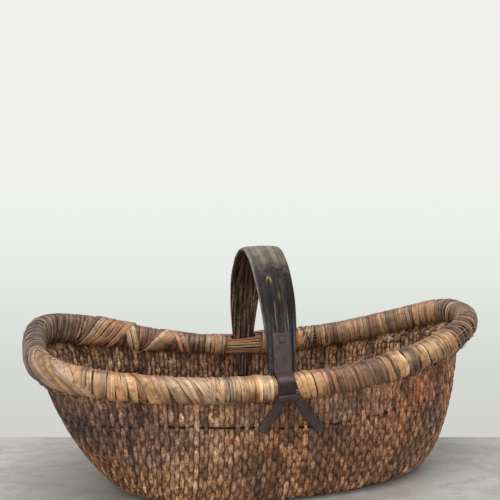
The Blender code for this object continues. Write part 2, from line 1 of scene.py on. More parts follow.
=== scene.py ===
"""Looks of the reed basket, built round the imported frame.

Reeds woven over dark cords make the body, thin peeled rods bound by flat splints make the rim, and
forged irons hold a worn bent-wood handle. The formulas of the rim, the wall and the handle are the
frame's own, drawn finer. Everything rides on the body "root". Lengths are in metres, and colours
are sRGB, from 0 to 255.
"""

import math
from collections import namedtuple

import bpy
import numpy as np
from mathutils import Matrix, Vector


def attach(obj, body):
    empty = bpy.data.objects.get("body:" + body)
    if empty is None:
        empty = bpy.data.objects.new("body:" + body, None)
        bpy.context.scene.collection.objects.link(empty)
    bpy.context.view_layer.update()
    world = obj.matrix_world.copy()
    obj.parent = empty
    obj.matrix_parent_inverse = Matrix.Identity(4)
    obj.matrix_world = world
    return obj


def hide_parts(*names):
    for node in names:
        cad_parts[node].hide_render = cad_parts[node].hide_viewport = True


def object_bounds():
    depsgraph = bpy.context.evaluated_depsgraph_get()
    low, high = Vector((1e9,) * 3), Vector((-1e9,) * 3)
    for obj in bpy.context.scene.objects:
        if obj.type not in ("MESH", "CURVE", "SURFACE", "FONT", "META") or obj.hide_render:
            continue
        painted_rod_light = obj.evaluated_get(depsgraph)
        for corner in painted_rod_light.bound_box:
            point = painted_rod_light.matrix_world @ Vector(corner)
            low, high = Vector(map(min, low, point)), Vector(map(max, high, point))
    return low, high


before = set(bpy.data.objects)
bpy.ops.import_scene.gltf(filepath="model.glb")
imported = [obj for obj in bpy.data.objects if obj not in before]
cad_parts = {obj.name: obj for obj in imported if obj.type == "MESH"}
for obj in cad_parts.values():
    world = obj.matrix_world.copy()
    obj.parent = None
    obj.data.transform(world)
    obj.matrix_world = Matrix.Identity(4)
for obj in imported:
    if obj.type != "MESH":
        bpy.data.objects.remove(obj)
CAD_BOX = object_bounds()

MM = 0.001

# Rim, as in the frame
RIM_HALF_LENGTH = 286 * MM
RIM_HALF_WIDTH = 116 * MM
RIM_LEFT_ROUNDNESS = 4.0
RIM_RIGHT_ROUNDNESS = 3.1
LEFT_END_BROADER_SHARE = 0.105
RIM_CREST_HEIGHT = 167 * MM
CREST_RISE = 10.3 * MM
LEFT_END_RISE = 36 * MM
LEFT_RISE_POWER = 1.73
RIGHT_END_RISE = 55 * MM
RIGHT_RISE_POWER = 2.28
CORNER_TWIST = 5 * MM
RIM_STEP = 1 * MM
PLAN_SAMPLES = 5760

# Wall, as in the frame
BASE_LEFT_HALF_LENGTH = 190 * MM
BASE_RIGHT_HALF_LENGTH = 236 * MM
BASE_HALF_WIDTH = 110 * MM
BASE_EDGE_RADIUS = 12 * MM
WALL_THICKNESS = 8 * MM
LEFT_WALL_BULGE = 1.3
RIGHT_WALL_BULGE = 1.9
SIDE_WALL_BULGE = 2.3
LEFT_END_FLARE = 11 * MM
RIGHT_END_FLARE = 16 * MM
FLARE_RUN_SHARE = 0.07
COLLAR_FLOOR = -26.3 * MM
WAIST_HEIGHT = 103 * MM
WAIST_RISE_SHARE = 0.4

# Handle and irons, as in the frame
HANDLE_CENTRE_OFFSET = 9.4 * MM
HANDLE_SKEW_SHARE = 0.025
HANDLE_TOP_HEIGHT = 308 * MM
HANDLE_SPRING_HEIGHT = 163 * MM
HANDLE_TOP_WIDTH = 48 * MM
HANDLE_FOOT_WIDTH = 30 * MM
HANDLE_THICKNESS = 5.5 * MM
HANDLE_CROWN = 1.2 * MM
ARCH_WIDTH_POWER = 1.8
ARCH_HEIGHT_POWER = 2.1
TONGUE_LENGTH = 58 * MM
TONGUE_TIP_WIDTH = 13 * MM
TONGUE_THICKNESS = 4.5 * MM
TONGUE_BULGE = 4.8 * MM
HALF_BARE = 28 * MM
BULGE_RUN = 40 * MM
PLATE_TOP_HEIGHT = 218 * MM

BODY = "root"


def lerp(start, end, share):
    return start + (end - start) * share


def smooth(share):
    """Ease from 0 to 1 with level ends."""
    share = np.clip(share, 0.0, 1.0)
    return share * share * (3 - 2 * share)


def bell(value, centre, reach):
    """A bump of height 1 at the centre, near nothing past twice its reach."""
    return np.exp(-((value - centre) / reach) ** 2)


def signed_power(value, power):
    return np.sign(value) * np.abs(value) ** power


def unit(vectors):
    return vectors / np.linalg.norm(vectors, axis=-1, keepdims=True)


def joined(*values):
    """Values side by side, spread over one shape."""
    return np.stack(np.broadcast_arrays(*values), -1)


def distances(points, axis=0):
    """How far along its line each point lies."""
    steps = np.linalg.norm(np.diff(points, axis=axis), axis=-1)
    return np.insert(np.cumsum(steps, axis), 0, 0, axis)


def read_line(marks, run, table):
    """Rows of a table, given at the stops of a run, read at these marks."""
    return np.stack([np.interp(marks, run, column) for column in table.T], -1)


def linear(*srgb):
    """Linear colour of sRGB values."""
    c = np.array(srgb, float) / 255
    return np.where(c <= 0.04045, c / 12.92, ((c + 0.055) / 1.055) ** 2.4)


def value_noise(seed, x, y):
    """Smooth noise from -1 to 1 over a plane, about one bump per unit."""
    table = np.random.default_rng(seed).uniform(-1, 1, (256, 256))
    x, y = np.broadcast_arrays(x, y)
    column, row = np.floor(x).astype(int), np.floor(y).astype(int)
    u, v = smooth(x - column), smooth(y - row)
    corner = [table[(column + i) % 256, (row + j) % 256] for i in (0, 1) for j in (0, 1)]
    return lerp(lerp(corner[0], corner[1], v), lerp(corner[2], corner[3], v), u)


def egg(x):
    """The left end is broader than the right one."""
    return 1 - LEFT_END_BROADER_SHARE * x / RIM_HALF_LENGTH


def rim_points(angles):
    """Middle of the top rods at these angles, counted from the high end's middle."""
    across, along = np.sin(angles), np.cos(angles)
    power = 2 / np.where(along >= 0, RIM_RIGHT_ROUNDNESS, RIM_LEFT_ROUNDNESS)
    x = RIM_HALF_LENGTH * signed_power(along, power)
    y = RIM_HALF_WIDTH * signed_power(across, power) * egg(x)
    share = x / RIM_HALF_LENGTH
    rise = np.where(share >= 0, RIGHT_END_RISE * np.abs(share) ** RIGHT_RISE_POWER,
                    LEFT_END_RISE * np.abs(share) ** LEFT_RISE_POWER)
    twist = -CORNER_TWIST * share * y / RIM_HALF_WIDTH
    return np.stack([x, y, RIM_CREST_HEIGHT - CREST_RISE + rise + twist], -1)


def base_points(angles):
    reach = np.where(np.cos(angles) >= 0, BASE_RIGHT_HALF_LENGTH, BASE_LEFT_HALF_LENGTH)
    x = reach * np.cos(angles)
    return np.stack([x, BASE_HALF_WIDTH * np.sin(angles) * egg(x)], -1)


class Rim:
    """The rim's line by its length, from the handle's front foot round the high end."""

    def __init__(self):
        skew = HANDLE_SKEW_SHARE * RIM_HALF_WIDTH
        start = self.angle_at(HANDLE_CENTRE_OFFSET + skew, 1.5 * math.pi)
        rear = self.angle_at(HANDLE_CENTRE_OFFSET - skew, 0.5 * math.pi) + 2 * math.pi
        angles = start + np.linspace(0, 2 * math.pi, PLAN_SAMPLES + 1)
        points = rim_points(angles)
        lengths = distances(points)
        self.total = float(lengths[-1])
        self.rear = float(np.interp(rear, angles, lengths))
        self.count = int(round(self.total / RIM_STEP))
        self.grid = np.arange(self.count + 1) * self.total / self.count
        self.angles = np.interp(self.grid, lengths, angles)
        self.points = read_line(self.grid[:-1], lengths, points)
        along = unit(np.roll(self.points, -4, 0) - np.roll(self.points, 4, 0))
        self.outward = unit(np.cross(along, [0, 0, 1]))
        self.up = np.cross(self.outward, along)

    @staticmethod
    def angle_at(x, middle):
        """Angle near this middle at which the rim passes x."""
        angles = np.linspace(middle - 0.8, middle + 0.8, PLAN_SAMPLES)
        found = rim_points(angles)[:, 0]
        order = np.argsort(found)
        return float(np.interp(x, found[order], angles[order]))

    def read(self, table, s):
        """Row of a table at these lengths along the rim."""
        place = np.asarray(s) % self.total / self.total * self.count
        low = np.floor(place).astype(int)
        share = (place - low)[..., None]
        return lerp(table[low % self.count], table[(low + 1) % self.count], share)

    def angle(self, s):
        return np.interp(s % self.total, self.grid, self.angles)

    def from_foot(self, s):
        """Distance along the rim to the nearer foot of the handle."""
        s = s % self.total
        return np.minimum(np.minimum(s, np.abs(s - self.rear)), self.total - s)

    def place(self, s, out, up):
        """Point at this length, offset outwards and up. The inside springs round the feet."""
        spring = TONGUE_BULGE * (1 - smooth((self.from_foot(s) - HALF_BARE) / BULGE_RUN))
        out = out - spring * smooth(-out / (4 * MM))
        return (self.read(self.points, s) + self.read(self.outward, s) * out[..., None]
                + self.read(self.up, s) * up[..., None])


RIM = Rim()


# Meshes

# Kind of attribute and its field, by how many numbers a point keeps
LAYER_KINDS = {1: ("FLOAT", "value"), 3: ("FLOAT_VECTOR", "vector"), 4: ("FLOAT_COLOR", "color")}


def tangents(points, looped=False):
    """Unit directions along rows of points shaped (rows, steps, 3)."""
    if looped:
        return unit(np.roll(points, -1, 1) - np.roll(points, 1, 1))
    return unit(np.gradient(points, axis=1))


def sweep(points, normals, sections, looped=False):
    """Rings round rows of points, from sections of (across, proud) for each side."""
    along = tangents(points, looped)
    across = unit(np.cross(normals, along))
    proud = np.cross(along, across)
    return (points[:, :, None] + across[:, :, None] * sections[..., :1]
            + proud[:, :, None] * sections[..., 1:])


def around(sides):
    """Angles of a round section's corners."""
    return 2 * math.pi * (np.arange(sides) + 0.5) / sides


def oval(half_width, half_depth, sides):
    """Section whose half width and depth may change from ring to ring."""
    turn = around(sides)
    return np.stack([half_width[..., None] * np.cos(turn),
                     half_depth[..., None] * np.sin(turn)], -1)


def tube_faces(rows, steps, sides, looped):
    """Quads round each tube, and a cap at each end of an open one."""
    index = np.arange(rows * steps * sides).reshape(rows, steps, sides)
    near = index if looped else index[:, :-1]
    far = np.roll(index, -1, 1) if looped else index[:, 1:]
    quads = np.stack([near, np.roll(near, -1, 2), np.roll(far, -1, 2), far], -1)
    caps = np.concatenate([index[:, 0, ::-1], index[:, -1]])
    return quads.reshape(-1, 4), caps[:0] if looped else caps


def add_object(name, data):
    made = bpy.data.objects.new(name, data)
    bpy.context.scene.collection.objects.link(made)
    return made


def add_piece(name, rings, material, slot, looped=False, **layers):
    """One object from rings shaped (rows, steps, sides, 3), above ground, riding on the basket.

    The layers keep numbers, vectors or colours at its points for the material.
    """
    rows, steps, sides = rings.shape[:3]
    rings[..., 2] = np.maximum(rings[..., 2], 0.0)
    quads, caps = tube_faces(rows, steps, sides, looped)
    corners = np.concatenate([quads.ravel(), caps.ravel()])
    starts = np.concatenate([np.arange(len(quads)) * 4, quads.size + np.arange(len(caps)) * sides])
    mesh = bpy.data.meshes.new(name)
    mesh.vertices.add(rows * steps * sides)
    mesh.vertices.foreach_set("co", np.ascontiguousarray(rings, np.float32).ravel())
    mesh.loops.add(len(corners))
    mesh.loops.foreach_set("vertex_index", corners.astype(np.int32))
    mesh.polygons.add(len(starts))
    mesh.polygons.foreach_set("loop_start", starts.astype(np.int32))
    mesh.update(calc_edges=True)
    for key, values in layers.items():
        if key == "tint":
            values = np.insert(values, 3, 1, -1)
        elif values.ndim == 3:
            values = values[..., None]
        kind, field = LAYER_KINDS[values.shape[-1]]
        values = np.broadcast_to(values, (rows, steps, sides, values.shape[-1]))
        layer = mesh.attributes.new(key, kind, "POINT")
        layer.data.foreach_set(field, np.ascontiguousarray(values, np.float32).ravel())
    mesh.shade_smooth()
    mesh.materials.append(material)
    piece = add_object(name, mesh)
    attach(piece, BODY)
    return piece


def cord_grain(radius, sides, along, number):
    """Place on a round cord: round it, along it, and which cord it is."""
    return joined(np.linspace(0, 2 * math.pi * radius, sides), along[..., None], number)


# Materials

class Finish:
    """A material under construction: each call adds a node and gives its output."""

    def __init__(self, name, roughness=0.6, metallic=0.0, specular=0.4):
        self.material = bpy.data.materials.new(name)
        self.material.use_nodes = True
        self.tree = self.material.node_tree
        self.shader = self.tree.nodes["Principled BSDF"]
        self.shader.inputs["Roughness"].default_value = roughness
        self.shader.inputs["Metallic"].default_value = metallic
        self.shader.inputs["Specular IOR Level"].default_value = specular

    def feed(self, socket, value):
        if isinstance(value, bpy.types.NodeSocket):
            self.tree.links.new(value, socket)
        else:
            socket.default_value = (*value[:3], 1) if socket.type == "RGBA" else value

    def node(self, kind, *values, output=0, **named):
        """Values go to the first sockets, capital names to sockets, small ones to settings."""
        made = self.tree.nodes.new("ShaderNode" + kind)
        for key, value in named.items():
            if key[0].isupper():
                self.feed(made.inputs[key], value)
            else:
                setattr(made, key, value)
        for socket, value in zip(made.inputs, values):
            self.feed(socket, value)
        return made.outputs[output]

    def attribute(self, name, output="Fac"):
        return self.node("Attribute", attribute_name=name, output=output)

    def noise(self, vector, scale=1.0, detail=3.0, roughness=0.55):
        return self.node("TexNoise", vector, Scale=scale, Detail=detail, Roughness=roughness)

    def cloud(self, scale, detail=3.0, roughness=0.55):
        """Noise that is alike in all directions."""
        return self.noise(self.node("TexCoord", output="Object"), scale, detail, roughness)

    def grain(self, x, y):
        """Place on the piece's grain, drawn out along it."""
        return self.node("Mapping", self.attribute("grain", "Vector"), Scale=(x, y, 1))

    def ramp(self, value, *stops):
        """Map a value through (position, level or colour) stops."""
        made = self.tree.nodes.new("ShaderNodeValToRGB")
        band = made.color_ramp
        while len(band.elements) < len(stops):
            band.elements.new(0.5)
        for slot, (position, level) in zip(band.elements, stops):
            colour = level if hasattr(level, "__len__") else (level, level, level)
            slot.position = position
            slot.color = (*colour[:3], 1)
        self.feed(made.inputs["Fac"], value)
        return made.outputs["Color"]

    def mix(self, share, first, second, blend="MIX"):
        made = self.tree.nodes.new("ShaderNodeMix")
        made.data_type = "RGBA"
        made.blend_type = blend
        made.clamp_result = False
        for socket, value in ((0, share), (6, first), (7, second)):
            self.feed(made.inputs[socket], value)
        return made.outputs[2]

    def between(self, value, low, high, first, second):
        """From the first sRGB colour to the second, as a value goes from low to high."""
        return self.mix(self.ramp(value, (low, 0), (high, 1)), linear(*first), linear(*second))

    def shaded(self, colour, *ramps):
        """Multiply a colour by ramps, each given as a value and its stops."""
        for value, *stops in ramps:
            colour = self.mix(1.0, colour, self.ramp(value, *stops), "MULTIPLY")
        return colour

    def done(self, colour, roughness=None, height=None, depth=0.0):
        """Feed the shader. The bump's depth is in mm."""
        self.feed(self.shader.inputs["Base Color"], colour)
        if roughness is not None:
            self.feed(self.shader.inputs["Roughness"], roughness)
        if height is not None:
            bump = self.node("Bump", Height=height, Distance=depth * MM, Strength=1.0)
            self.feed(self.shader.inputs["Normal"], bump)
        return self.material


def reed_finish():
    """Peeled reed: fibres along it, worn pale with a painted highlight where it stands proud,
    painted shade deep in the weave.
    """
    finish = Finish("woven_reed_finish", specular=0.3)
    fibre = finish.noise(finish.grain(900, 210), detail=4)
    strand = finish.noise(finish.grain(340, 170))
    proud = finish.attribute("proud")
    colour = finish.shaded(
        finish.attribute("tint", "Color"),
        (fibre, (0.34, (0.50, 0.45, 0.42)), (0.5, 1), (0.66, (1.42, 1.47, 1.52))),
        (strand, (0.35, (0.62, 0.57, 0.54)), (0.65, (1.34, 1.37, 1.40))),
        (finish.cloud(330), (0.36, (0.66, 0.62, 0.60)), (0.64, (1.3, 1.28, 1.25))),
        (finish.cloud(120), (0.36, (0.74, 0.70, 0.69)), (0.64, (1.14, 1.14, 1.12))),
        # Where the reed stands proud, wear and a painted highlight make it paler; deep in the
        # weave, painted shade darkens it
        (proud, (0.6, 1), (1.0, (1.28, 1.32, 1.38))),
        (proud, (0.15, (0.40, 0.34, 0.31)), (0.5, (0.85, 0.82, 0.80)), (0.7, 1)))
    return finish.done(colour, finish.ramp(fibre, (0.3, 0.76), (0.7, 0.54)), fibre, 0.4)


def splint_finish():
    """Flat splint: silky streaks, thin dark splits, dirt, and painted shade on its sides and
    underside, seen as dark slits between splints.
    """
    finish = Finish("rim_splint_finish", specular=0.5)
    streak = finish.noise(finish.grain(560, 16), detail=4, roughness=0.6)
    fibre = finish.noise(finish.grain(1500, 30))
    colour = finish.shaded(
        finish.attribute("tint", "Color"),
        (streak, (0.36, (0.62, 0.55, 0.50)), (0.5, 1), (0.66, (1.24, 1.26, 1.28))),
        (fibre, (0.33, 0.62), (0.5, 1.0), (0.68, 1.15)),
        (finish.cloud(150, 4), (0.34, (0.62, 0.54, 0.48)), (0.52, 1)),
        # Painted shade on the splint's sides and underside, seen as dark slits between splints
        (finish.attribute("edge"), (0.25, 1), (0.95, (0.30, 0.23, 0.20))))
    return finish.done(colour, finish.ramp(streak, (0.35, 0.55), (0.65, 0.34)),
                       finish.mix(0.5, streak, fibre), 0.35)


def rod_finish():
    """Thin peeled rod of the rim's bundle."""
    finish = Finish("rim_rod_finish")
    fibre = finish.noise(finish.grain(1300, 60), detail=4)
    colour = finish.shaded(finish.attribute("tint", "Color"), (fibre, (0.3, 0.5), (0.7, 1.35)))
    return finish.done(colour, finish.ramp(fibre, (0.3, 0.7), (0.7, 0.45)), fibre, 0.4)


def cord_finish():
    """Old tarred cord, near black, with its twist."""
    finish = Finish("dark_cord_finish", roughness=0.85, specular=0.25)
    twist = finish.node("TexWave", finish.grain(600, 600), Scale=1.0, Distortion=1.5, output="Fac")
    dust = finish.ramp(finish.cloud(260), (0.40, 0.0), (0.65, 0.8))
    return finish.done(finish.mix(dust, linear(30, 22, 19), linear(84, 62, 48)),
                       height=twist, depth=0.5)


def weft_finish():
    """Packed cord deep in the weave: brown dust over a dark fibre."""
    finish = Finish("weft_finish", roughness=0.9, specular=0.2)
    return finish.done(finish.between(finish.cloud(240), 0.38, 0.62, (62, 44, 35), (112, 82, 62)))


def wood_finish():
    """Handle's old dark wood: blue-grey low down, brown above, grey-brown where hands wear it, with
    a painted highlight on its edges and painted shade on its upper inside.
    """
    finish = Finish("bent_wood_finish", specular=0.22)
    fibre = finish.noise(finish.grain(420, 16), detail=6, roughness=0.62)
    coarse = finish.noise(finish.grain(140, 10), detail=4)
    patch = finish.cloud(75, 5, 0.65)
    fleck = finish.cloud(300)
    brown = finish.between(coarse, 0.40, 0.60, (30, 23, 18), (20, 14, 11))
    blue = finish.between(coarse, 0.40, 0.60, (64, 62, 62), (40, 36, 35))
    inside = finish.between(fibre, 0.38, 0.62, (46, 33, 27), (98, 74, 62))
    side = finish.mix(finish.attribute("inner"), finish.mix(finish.attribute("cool"), brown, blue),
                      inside)
    soiled = finish.shaded(side, (fibre, (0.39, 0.35), (0.5, 0.90), (0.60, 2.4)),
                           (fleck, (0.38, 0.72), (0.62, 1.3)))
    uneven = finish.node("Math", patch, 0.5, operation="SUBTRACT")
    # Wear on the crown, wear and a painted highlight along the edges, a painted highlight on the
    # front leg's right edge
    wear_and_sheen = finish.node("Math", finish.attribute("worn"), uneven, operation="ADD")
    worn = finish.mix(finish.ramp(wear_and_sheen, (0.12, 0.0), (1.0, 1.0)), soiled,
                      finish.between(coarse, 0.38, 0.62, (108, 98, 87), (152, 140, 123)))
    bare = finish.mix(finish.attribute("bare"), worn, linear(196, 158, 112))
    # Dark in the cracks and the chip, and under painted shade on the upper inside
    return finish.done(finish.mix(finish.attribute("cleft"), bare, linear(20, 15, 13)),
                       finish.ramp(patch, (0.35, 0.62), (0.65, 0.42)),
                       finish.mix(0.35, fibre, fleck), 0.6)


def iron_finish():
    """Forged iron with a dull brown skin, darkened toward near black by painted shade and eased by
    a painted highlight.
    """
    finish = Finish("forged_iron_finish", metallic=0.3)
    cloud = finish.cloud(90, 5, 0.65)
    pit = finish.cloud(620)
    skin = finish.between(cloud, 0.35, 0.66, (70, 58, 57), (94, 78, 75))
    rust = finish.mix(finish.ramp(pit, (0.55, 0.0), (0.72, 0.7)), skin, linear(106, 80, 68))
    # The edge layer is painted shade, less where a painted highlight lies
    return finish.done(finish.mix(finish.attribute("edge"), rust, linear(42, 30, 28)),
                       finish.ramp(pit, (0.35, 0.45), (0.65, 0.66)),
                       finish.mix(0.4, cloud, pit), 0.7)


# Woven body

REEDS_RIGHT, REEDS_LEFT = 108, 122
REEDS = REEDS_RIGHT + REEDS_LEFT
REED_STEPS = 150
REED_SIDES = 8
REED_TURN = around(REED_SIDES)
REED_SEED = 11
ROWS_TO_WAIST = 14.0
ROW_PITCH = 8.8 * MM
UPPER_ROW_PITCH = 9.5 * MM
REED_SWING = 1.0 * MM
UPPER_SWING_SHARE = 0.80
# How far the waist lies above its even line, in mm, at places along the basket in mm
WAIST_BENDS = ((-260, 0), (-150, 8), (-75, 4.5), (-25, 1), (8, -2.5), (45, -4.5), (115, -4.3),
               (160, 0))
REED_HALF_DEPTH = 1.75 * MM
REED_WIDTH_SHARES = (1.02, 0.04)
PLATEAU = 1.3
OUTER_BIAS = 0.50
# Painted light on each float of a reed: its upper half lighter, its lower half darker
PAINTED_GRAIN_LIGHT = 0.22
# Painted fill light on the inner face of the reeds, a little cooler
INNER_PAINTED_FILL = (1.20, 1.34, 1.50)
FLOAT_CONTRAST = 0.155
WALL_MIDDLE_DEPTH = 3.2 * MM
REED_TOP = 1.5 * MM
BASE_RUN = 16 * MM
WEFT_HALF_DEPTH = 0.7 * MM
WEFT_COVER_SHARE = 0.6
WEFT_SIDES = 8
RING_SAMPLES = 361

REED_TONES = np.array([linear(56, 39, 31), linear(94, 66, 48), linear(134, 96, 68),
                       linear(174, 132, 94), linear(214, 178, 134)])

# Stains: centre and reach in mm, shift of tone, colour, and how far it tells
STAINS = (
    (-215, -100, 112, 66, 70, 32, -0.25, 82, 68, 66, 0.75),
    (-252, -50, 128, 46, 60, 34, -0.20, 86, 68, 64, 0.7),
    (-120, -118, 104, 44, 60, 24, -0.08, 96, 80, 74, 0.5),
    (-160, -112, 70, 34, 60, 12, -0.12, 84, 70, 66, 0.6),
    (-75, -120, 84, 48, 60, 22, 0.10, 150, 118, 92, 0.15),
    (-120, -110, 30, 70, 70, 34, 0.20, 140, 114, 82, 0.35),
    (-215, -70, 62, 30, 60, 30, 0.04, 140, 96, 62, 0.4),
    (-35, -118, 34, 30, 60, 34, -0.16, 78, 58, 50, 0.4),
    (-30, -120, 112, 22, 60, 14, 0.05, 112, 112, 98, 0.4),
    (62, -118, 60, 50, 60, 44, -0.13, 134, 90, 62, 0.3),
    (110, -112, 40, 60, 60, 40, -0.09, 118, 88, 70, 0.3),
    (92, -114, 122, 50, 60, 16, -0.02, 112, 100, 92, 0.5),
    (160, -104, 96, 46, 60, 46, 0.0, 132, 84, 60, 0.45),
    (205, -84, 128, 26, 50, 26, 0.0, 140, 78, 54, 0.5),
    (222, -62, 84, 18, 50, 34, -0.12, 82, 72, 70, 0.6),
    (252, -30, 92, 18, 60, 40, 0.12, 168, 112, 66, 0.6),
    (190, -84, 36, 40, 50, 20, -0.05, 104, 84, 76, 0.4),
    (0, 112, 90, 260, 30, 60, -0.02, 96, 76, 66, 0.25),
)


def wall_surface(s):
    """Outer face of the wall under these lengths of rim, from inside the binding to the base."""
    s = s[:, None]
    up = np.linspace(REED_TOP, COLLAR_FLOOR, 16) + s * 0
    collar = RIM.place(s + up * 0, np.full_like(up, WALL_THICKNESS / 2), up)
    top = collar[:, -1:]
    base = base_points(RIM.angle(s))
    edge = BASE_EDGE_RADIUS / top[..., 2]
    turn = math.pi / 2 * np.linspace(1, 0, 14)[None, 1:]
    share = np.concatenate([lerp(1.0, edge, np.linspace(0, 1, 120)[None]),
                            edge * (1 - np.cos(turn))], 1)
    height = top[..., 2] * share
    right = np.cos(RIM.angle(s)) >= 0
    bulge = np.where(right, RIGHT_WALL_BULGE, LEFT_WALL_BULGE)
    flare = np.where(right, -RIGHT_END_FLARE, LEFT_END_FLARE)
    lean_x = (1 - (1 - share) ** bulge) ** (1 / bulge)
    lean_y = (1 - (1 - share) ** SIDE_WALL_BULGE) ** (1 / SIDE_WALL_BULGE)
    wall = np.stack([lerp(base[..., 0], top[..., 0], lean_x),
                     lerp(base[..., 1], top[..., 1], lean_y), height], -1)
    wall[..., 0] += (flare * (top[..., 0] / RIM_HALF_LENGTH) ** 2
                     * smooth((1 - share) / FLARE_RUN_SHARE))
    gap = np.maximum(BASE_EDGE_RADIUS - height, 0.0)
    inset = BASE_EDGE_RADIUS - np.sqrt(BASE_EDGE_RADIUS ** 2 - gap ** 2)
    outward = RIM.read(RIM.outward, s) * [1, 1, 0]
    wall = wall - outward * inset[..., None]
    run = np.linspace(0, BASE_RUN, 9)[None, 1:, None]
    return np.concatenate([collar[:, :-1], wall, wall[:, -1:] - outward * run], 1)


def spread_columns(low, high, shares):
    """Columns of the wall between two lengths of rim, upright on its sides, closer at its end."""
    s = np.linspace(low, high, RING_SAMPLES)
    grid = wall_surface(s)
    lengths = distances(grid)
    table = np.concatenate([grid, np.broadcast_to(s[:, None, None], (*lengths.shape, 1))], -1)
    squeeze = shares - np.sin(2 * math.pi * shares) / (2 * math.pi)
    girth = lengths[-1, 0]
    return np.stack([read_line(girth * shares - (girth - run[-1]) * squeeze, run, line)
                     for run, line in zip(lengths.T, table.swapaxes(0, 1))], 1)


class Weave:
    """The wall's middle surface by columns, with the row that each point lies on."""

    def __init__(self):
        rng = np.random.default_rng(REED_SEED)
        halves = []
        for low, high, count in ((0.0, RIM.rear, REEDS_RIGHT), (RIM.rear, RIM.total, REEDS_LEFT)):
            shares = (np.arange(count) + 0.5 + rng.uniform(-0.13, 0.13, count)) / count
            halves.append(spread_columns(low, high, shares))
        columns = np.concatenate(halves)
        outer = columns[..., :3]
        round_it = np.roll(outer, -1, 0) - np.roll(outer, 1, 0)
        normals = unit(np.cross(np.gradient(outer, axis=1), round_it))
        middle = outer - normals * WALL_MIDDLE_DEPTH
        lengths = distances(middle, 1)
        tables = np.concatenate([middle, normals, columns[..., 3:]], -1)
        both = np.array([read_line(np.linspace(0, run[-1], REED_STEPS), run, table)
                         for run, table in zip(lengths, tables)])
        self.points, self.normals = both[..., :3], unit(both[..., 3:6])
        self.length = lengths[:, -1:]
        self.climb = self.length * np.linspace(1, 0, REED_STEPS)
        level = WAIST_HEIGHT + WAIST_RISE_SHARE * (
            RIM.read(RIM.points, both[..., 6])[..., 2] - RIM_CREST_HEIGHT + CREST_RISE)
        level = level + np.interp(self.points[..., 0] / MM, *zip(*WAIST_BENDS)) * MM
        above = self.points[..., 2] - level
        self.waist = np.array([np.interp(0, gap[::-1], climb[::-1])
                               for gap, climb in zip(above, self.climb)])[:, None]
        low = np.minimum(self.climb / self.waist, 1) * ROWS_TO_WAIST
        self.rows = low + np.maximum(self.climb - self.waist, 0) / UPPER_ROW_PITCH
        self.spacing = np.linalg.norm(np.roll(self.points, -1, 0) - np.roll(self.points, 1, 0),
                                      axis=-1) / 2

    def at_row(self, row):
        """Points and normals where each column crosses a row, or its top end."""
        place = np.array([np.interp(row, rows[::-1], np.linspace(1, 0, REED_STEPS))
                          for rows in self.rows]) * (REED_STEPS - 1)
        low = np.minimum(place.astype(int), REED_STEPS - 2)
        part = (place - low)[:, None]
        index = np.arange(REEDS)
        points, normals = (lerp(table[index, low], table[index, low + 1], part)
                           for table in (self.points, self.normals))
        return points, unit(normals)


def stained(casts, tone, points):
    """Shift tones, and list colour casts, where the stains lie."""
    for *place, shift, red, green, blue, share in STAINS:
        centre, reach = np.reshape(place, (2, 3)) * MM
        near = np.exp(-(((points - centre) / reach) ** 2).sum(-1))
        tone = lerp(tone + shift * near, 0.54 + shift, 0.45 * near)
        casts.append((near * share, linear(red, green, blue)))
    return tone


def reed_tints(seed, points, number, float_number, along):
    """Colour at each point of the reeds, from the reed, its float over the wefts and the stains."""
    rng = np.random.default_rng(seed)
    reed_tone = rng.normal(0, 0.07, 512)[number % 512]
    float_number = np.floor(float_number).astype(int)
    float_tone = rng.normal(0, FLOAT_CONTRAST, (512, 128))[number % 512, float_number % 128]
    drift = value_noise(seed + 1, number * 0.31, along / (45 * MM))
    cloud = value_noise(seed + 2, points[..., 0] / (38 * MM) + 40,
                        (points[..., 2] + points[..., 1] * 0.5) / (30 * MM) + 40)
    casts = []
    tone = stained(casts, 0.56 + reed_tone + float_tone + 0.08 * drift + 0.09 * cloud, points)
    tone = np.clip(tone, 0, 1) * (len(REED_TONES) - 1)
    low = np.minimum(tone.astype(int), len(REED_TONES) - 2)
    tint = lerp(REED_TONES[low], REED_TONES[low + 1], (tone - low)[..., None])
    level = tint.mean(-1, keepdims=True)
    warm = value_noise(seed + 3, number * 0.9, along / (24 * MM))
    casts.append((0.24 * np.clip(warm, 0, 1), linear(146, 92, 62)))
    casts.append((0.28 * np.clip(-warm, 0, 1), linear(114, 92, 84)))
    for share, cast in casts:
        tint = lerp(tint, cast / cast.mean() * level, share[..., None])
    return tint[:, :, None]


def plateau(swing):
    """Square off a swing from -1 to 1."""
    return REED_SWING * np.tanh(PLATEAU * swing) / math.tanh(PLATEAU)


def reed_grain(width, along, number):
    return joined(width[..., None] / 2 * REED_TURN, along[..., None], number[..., None])


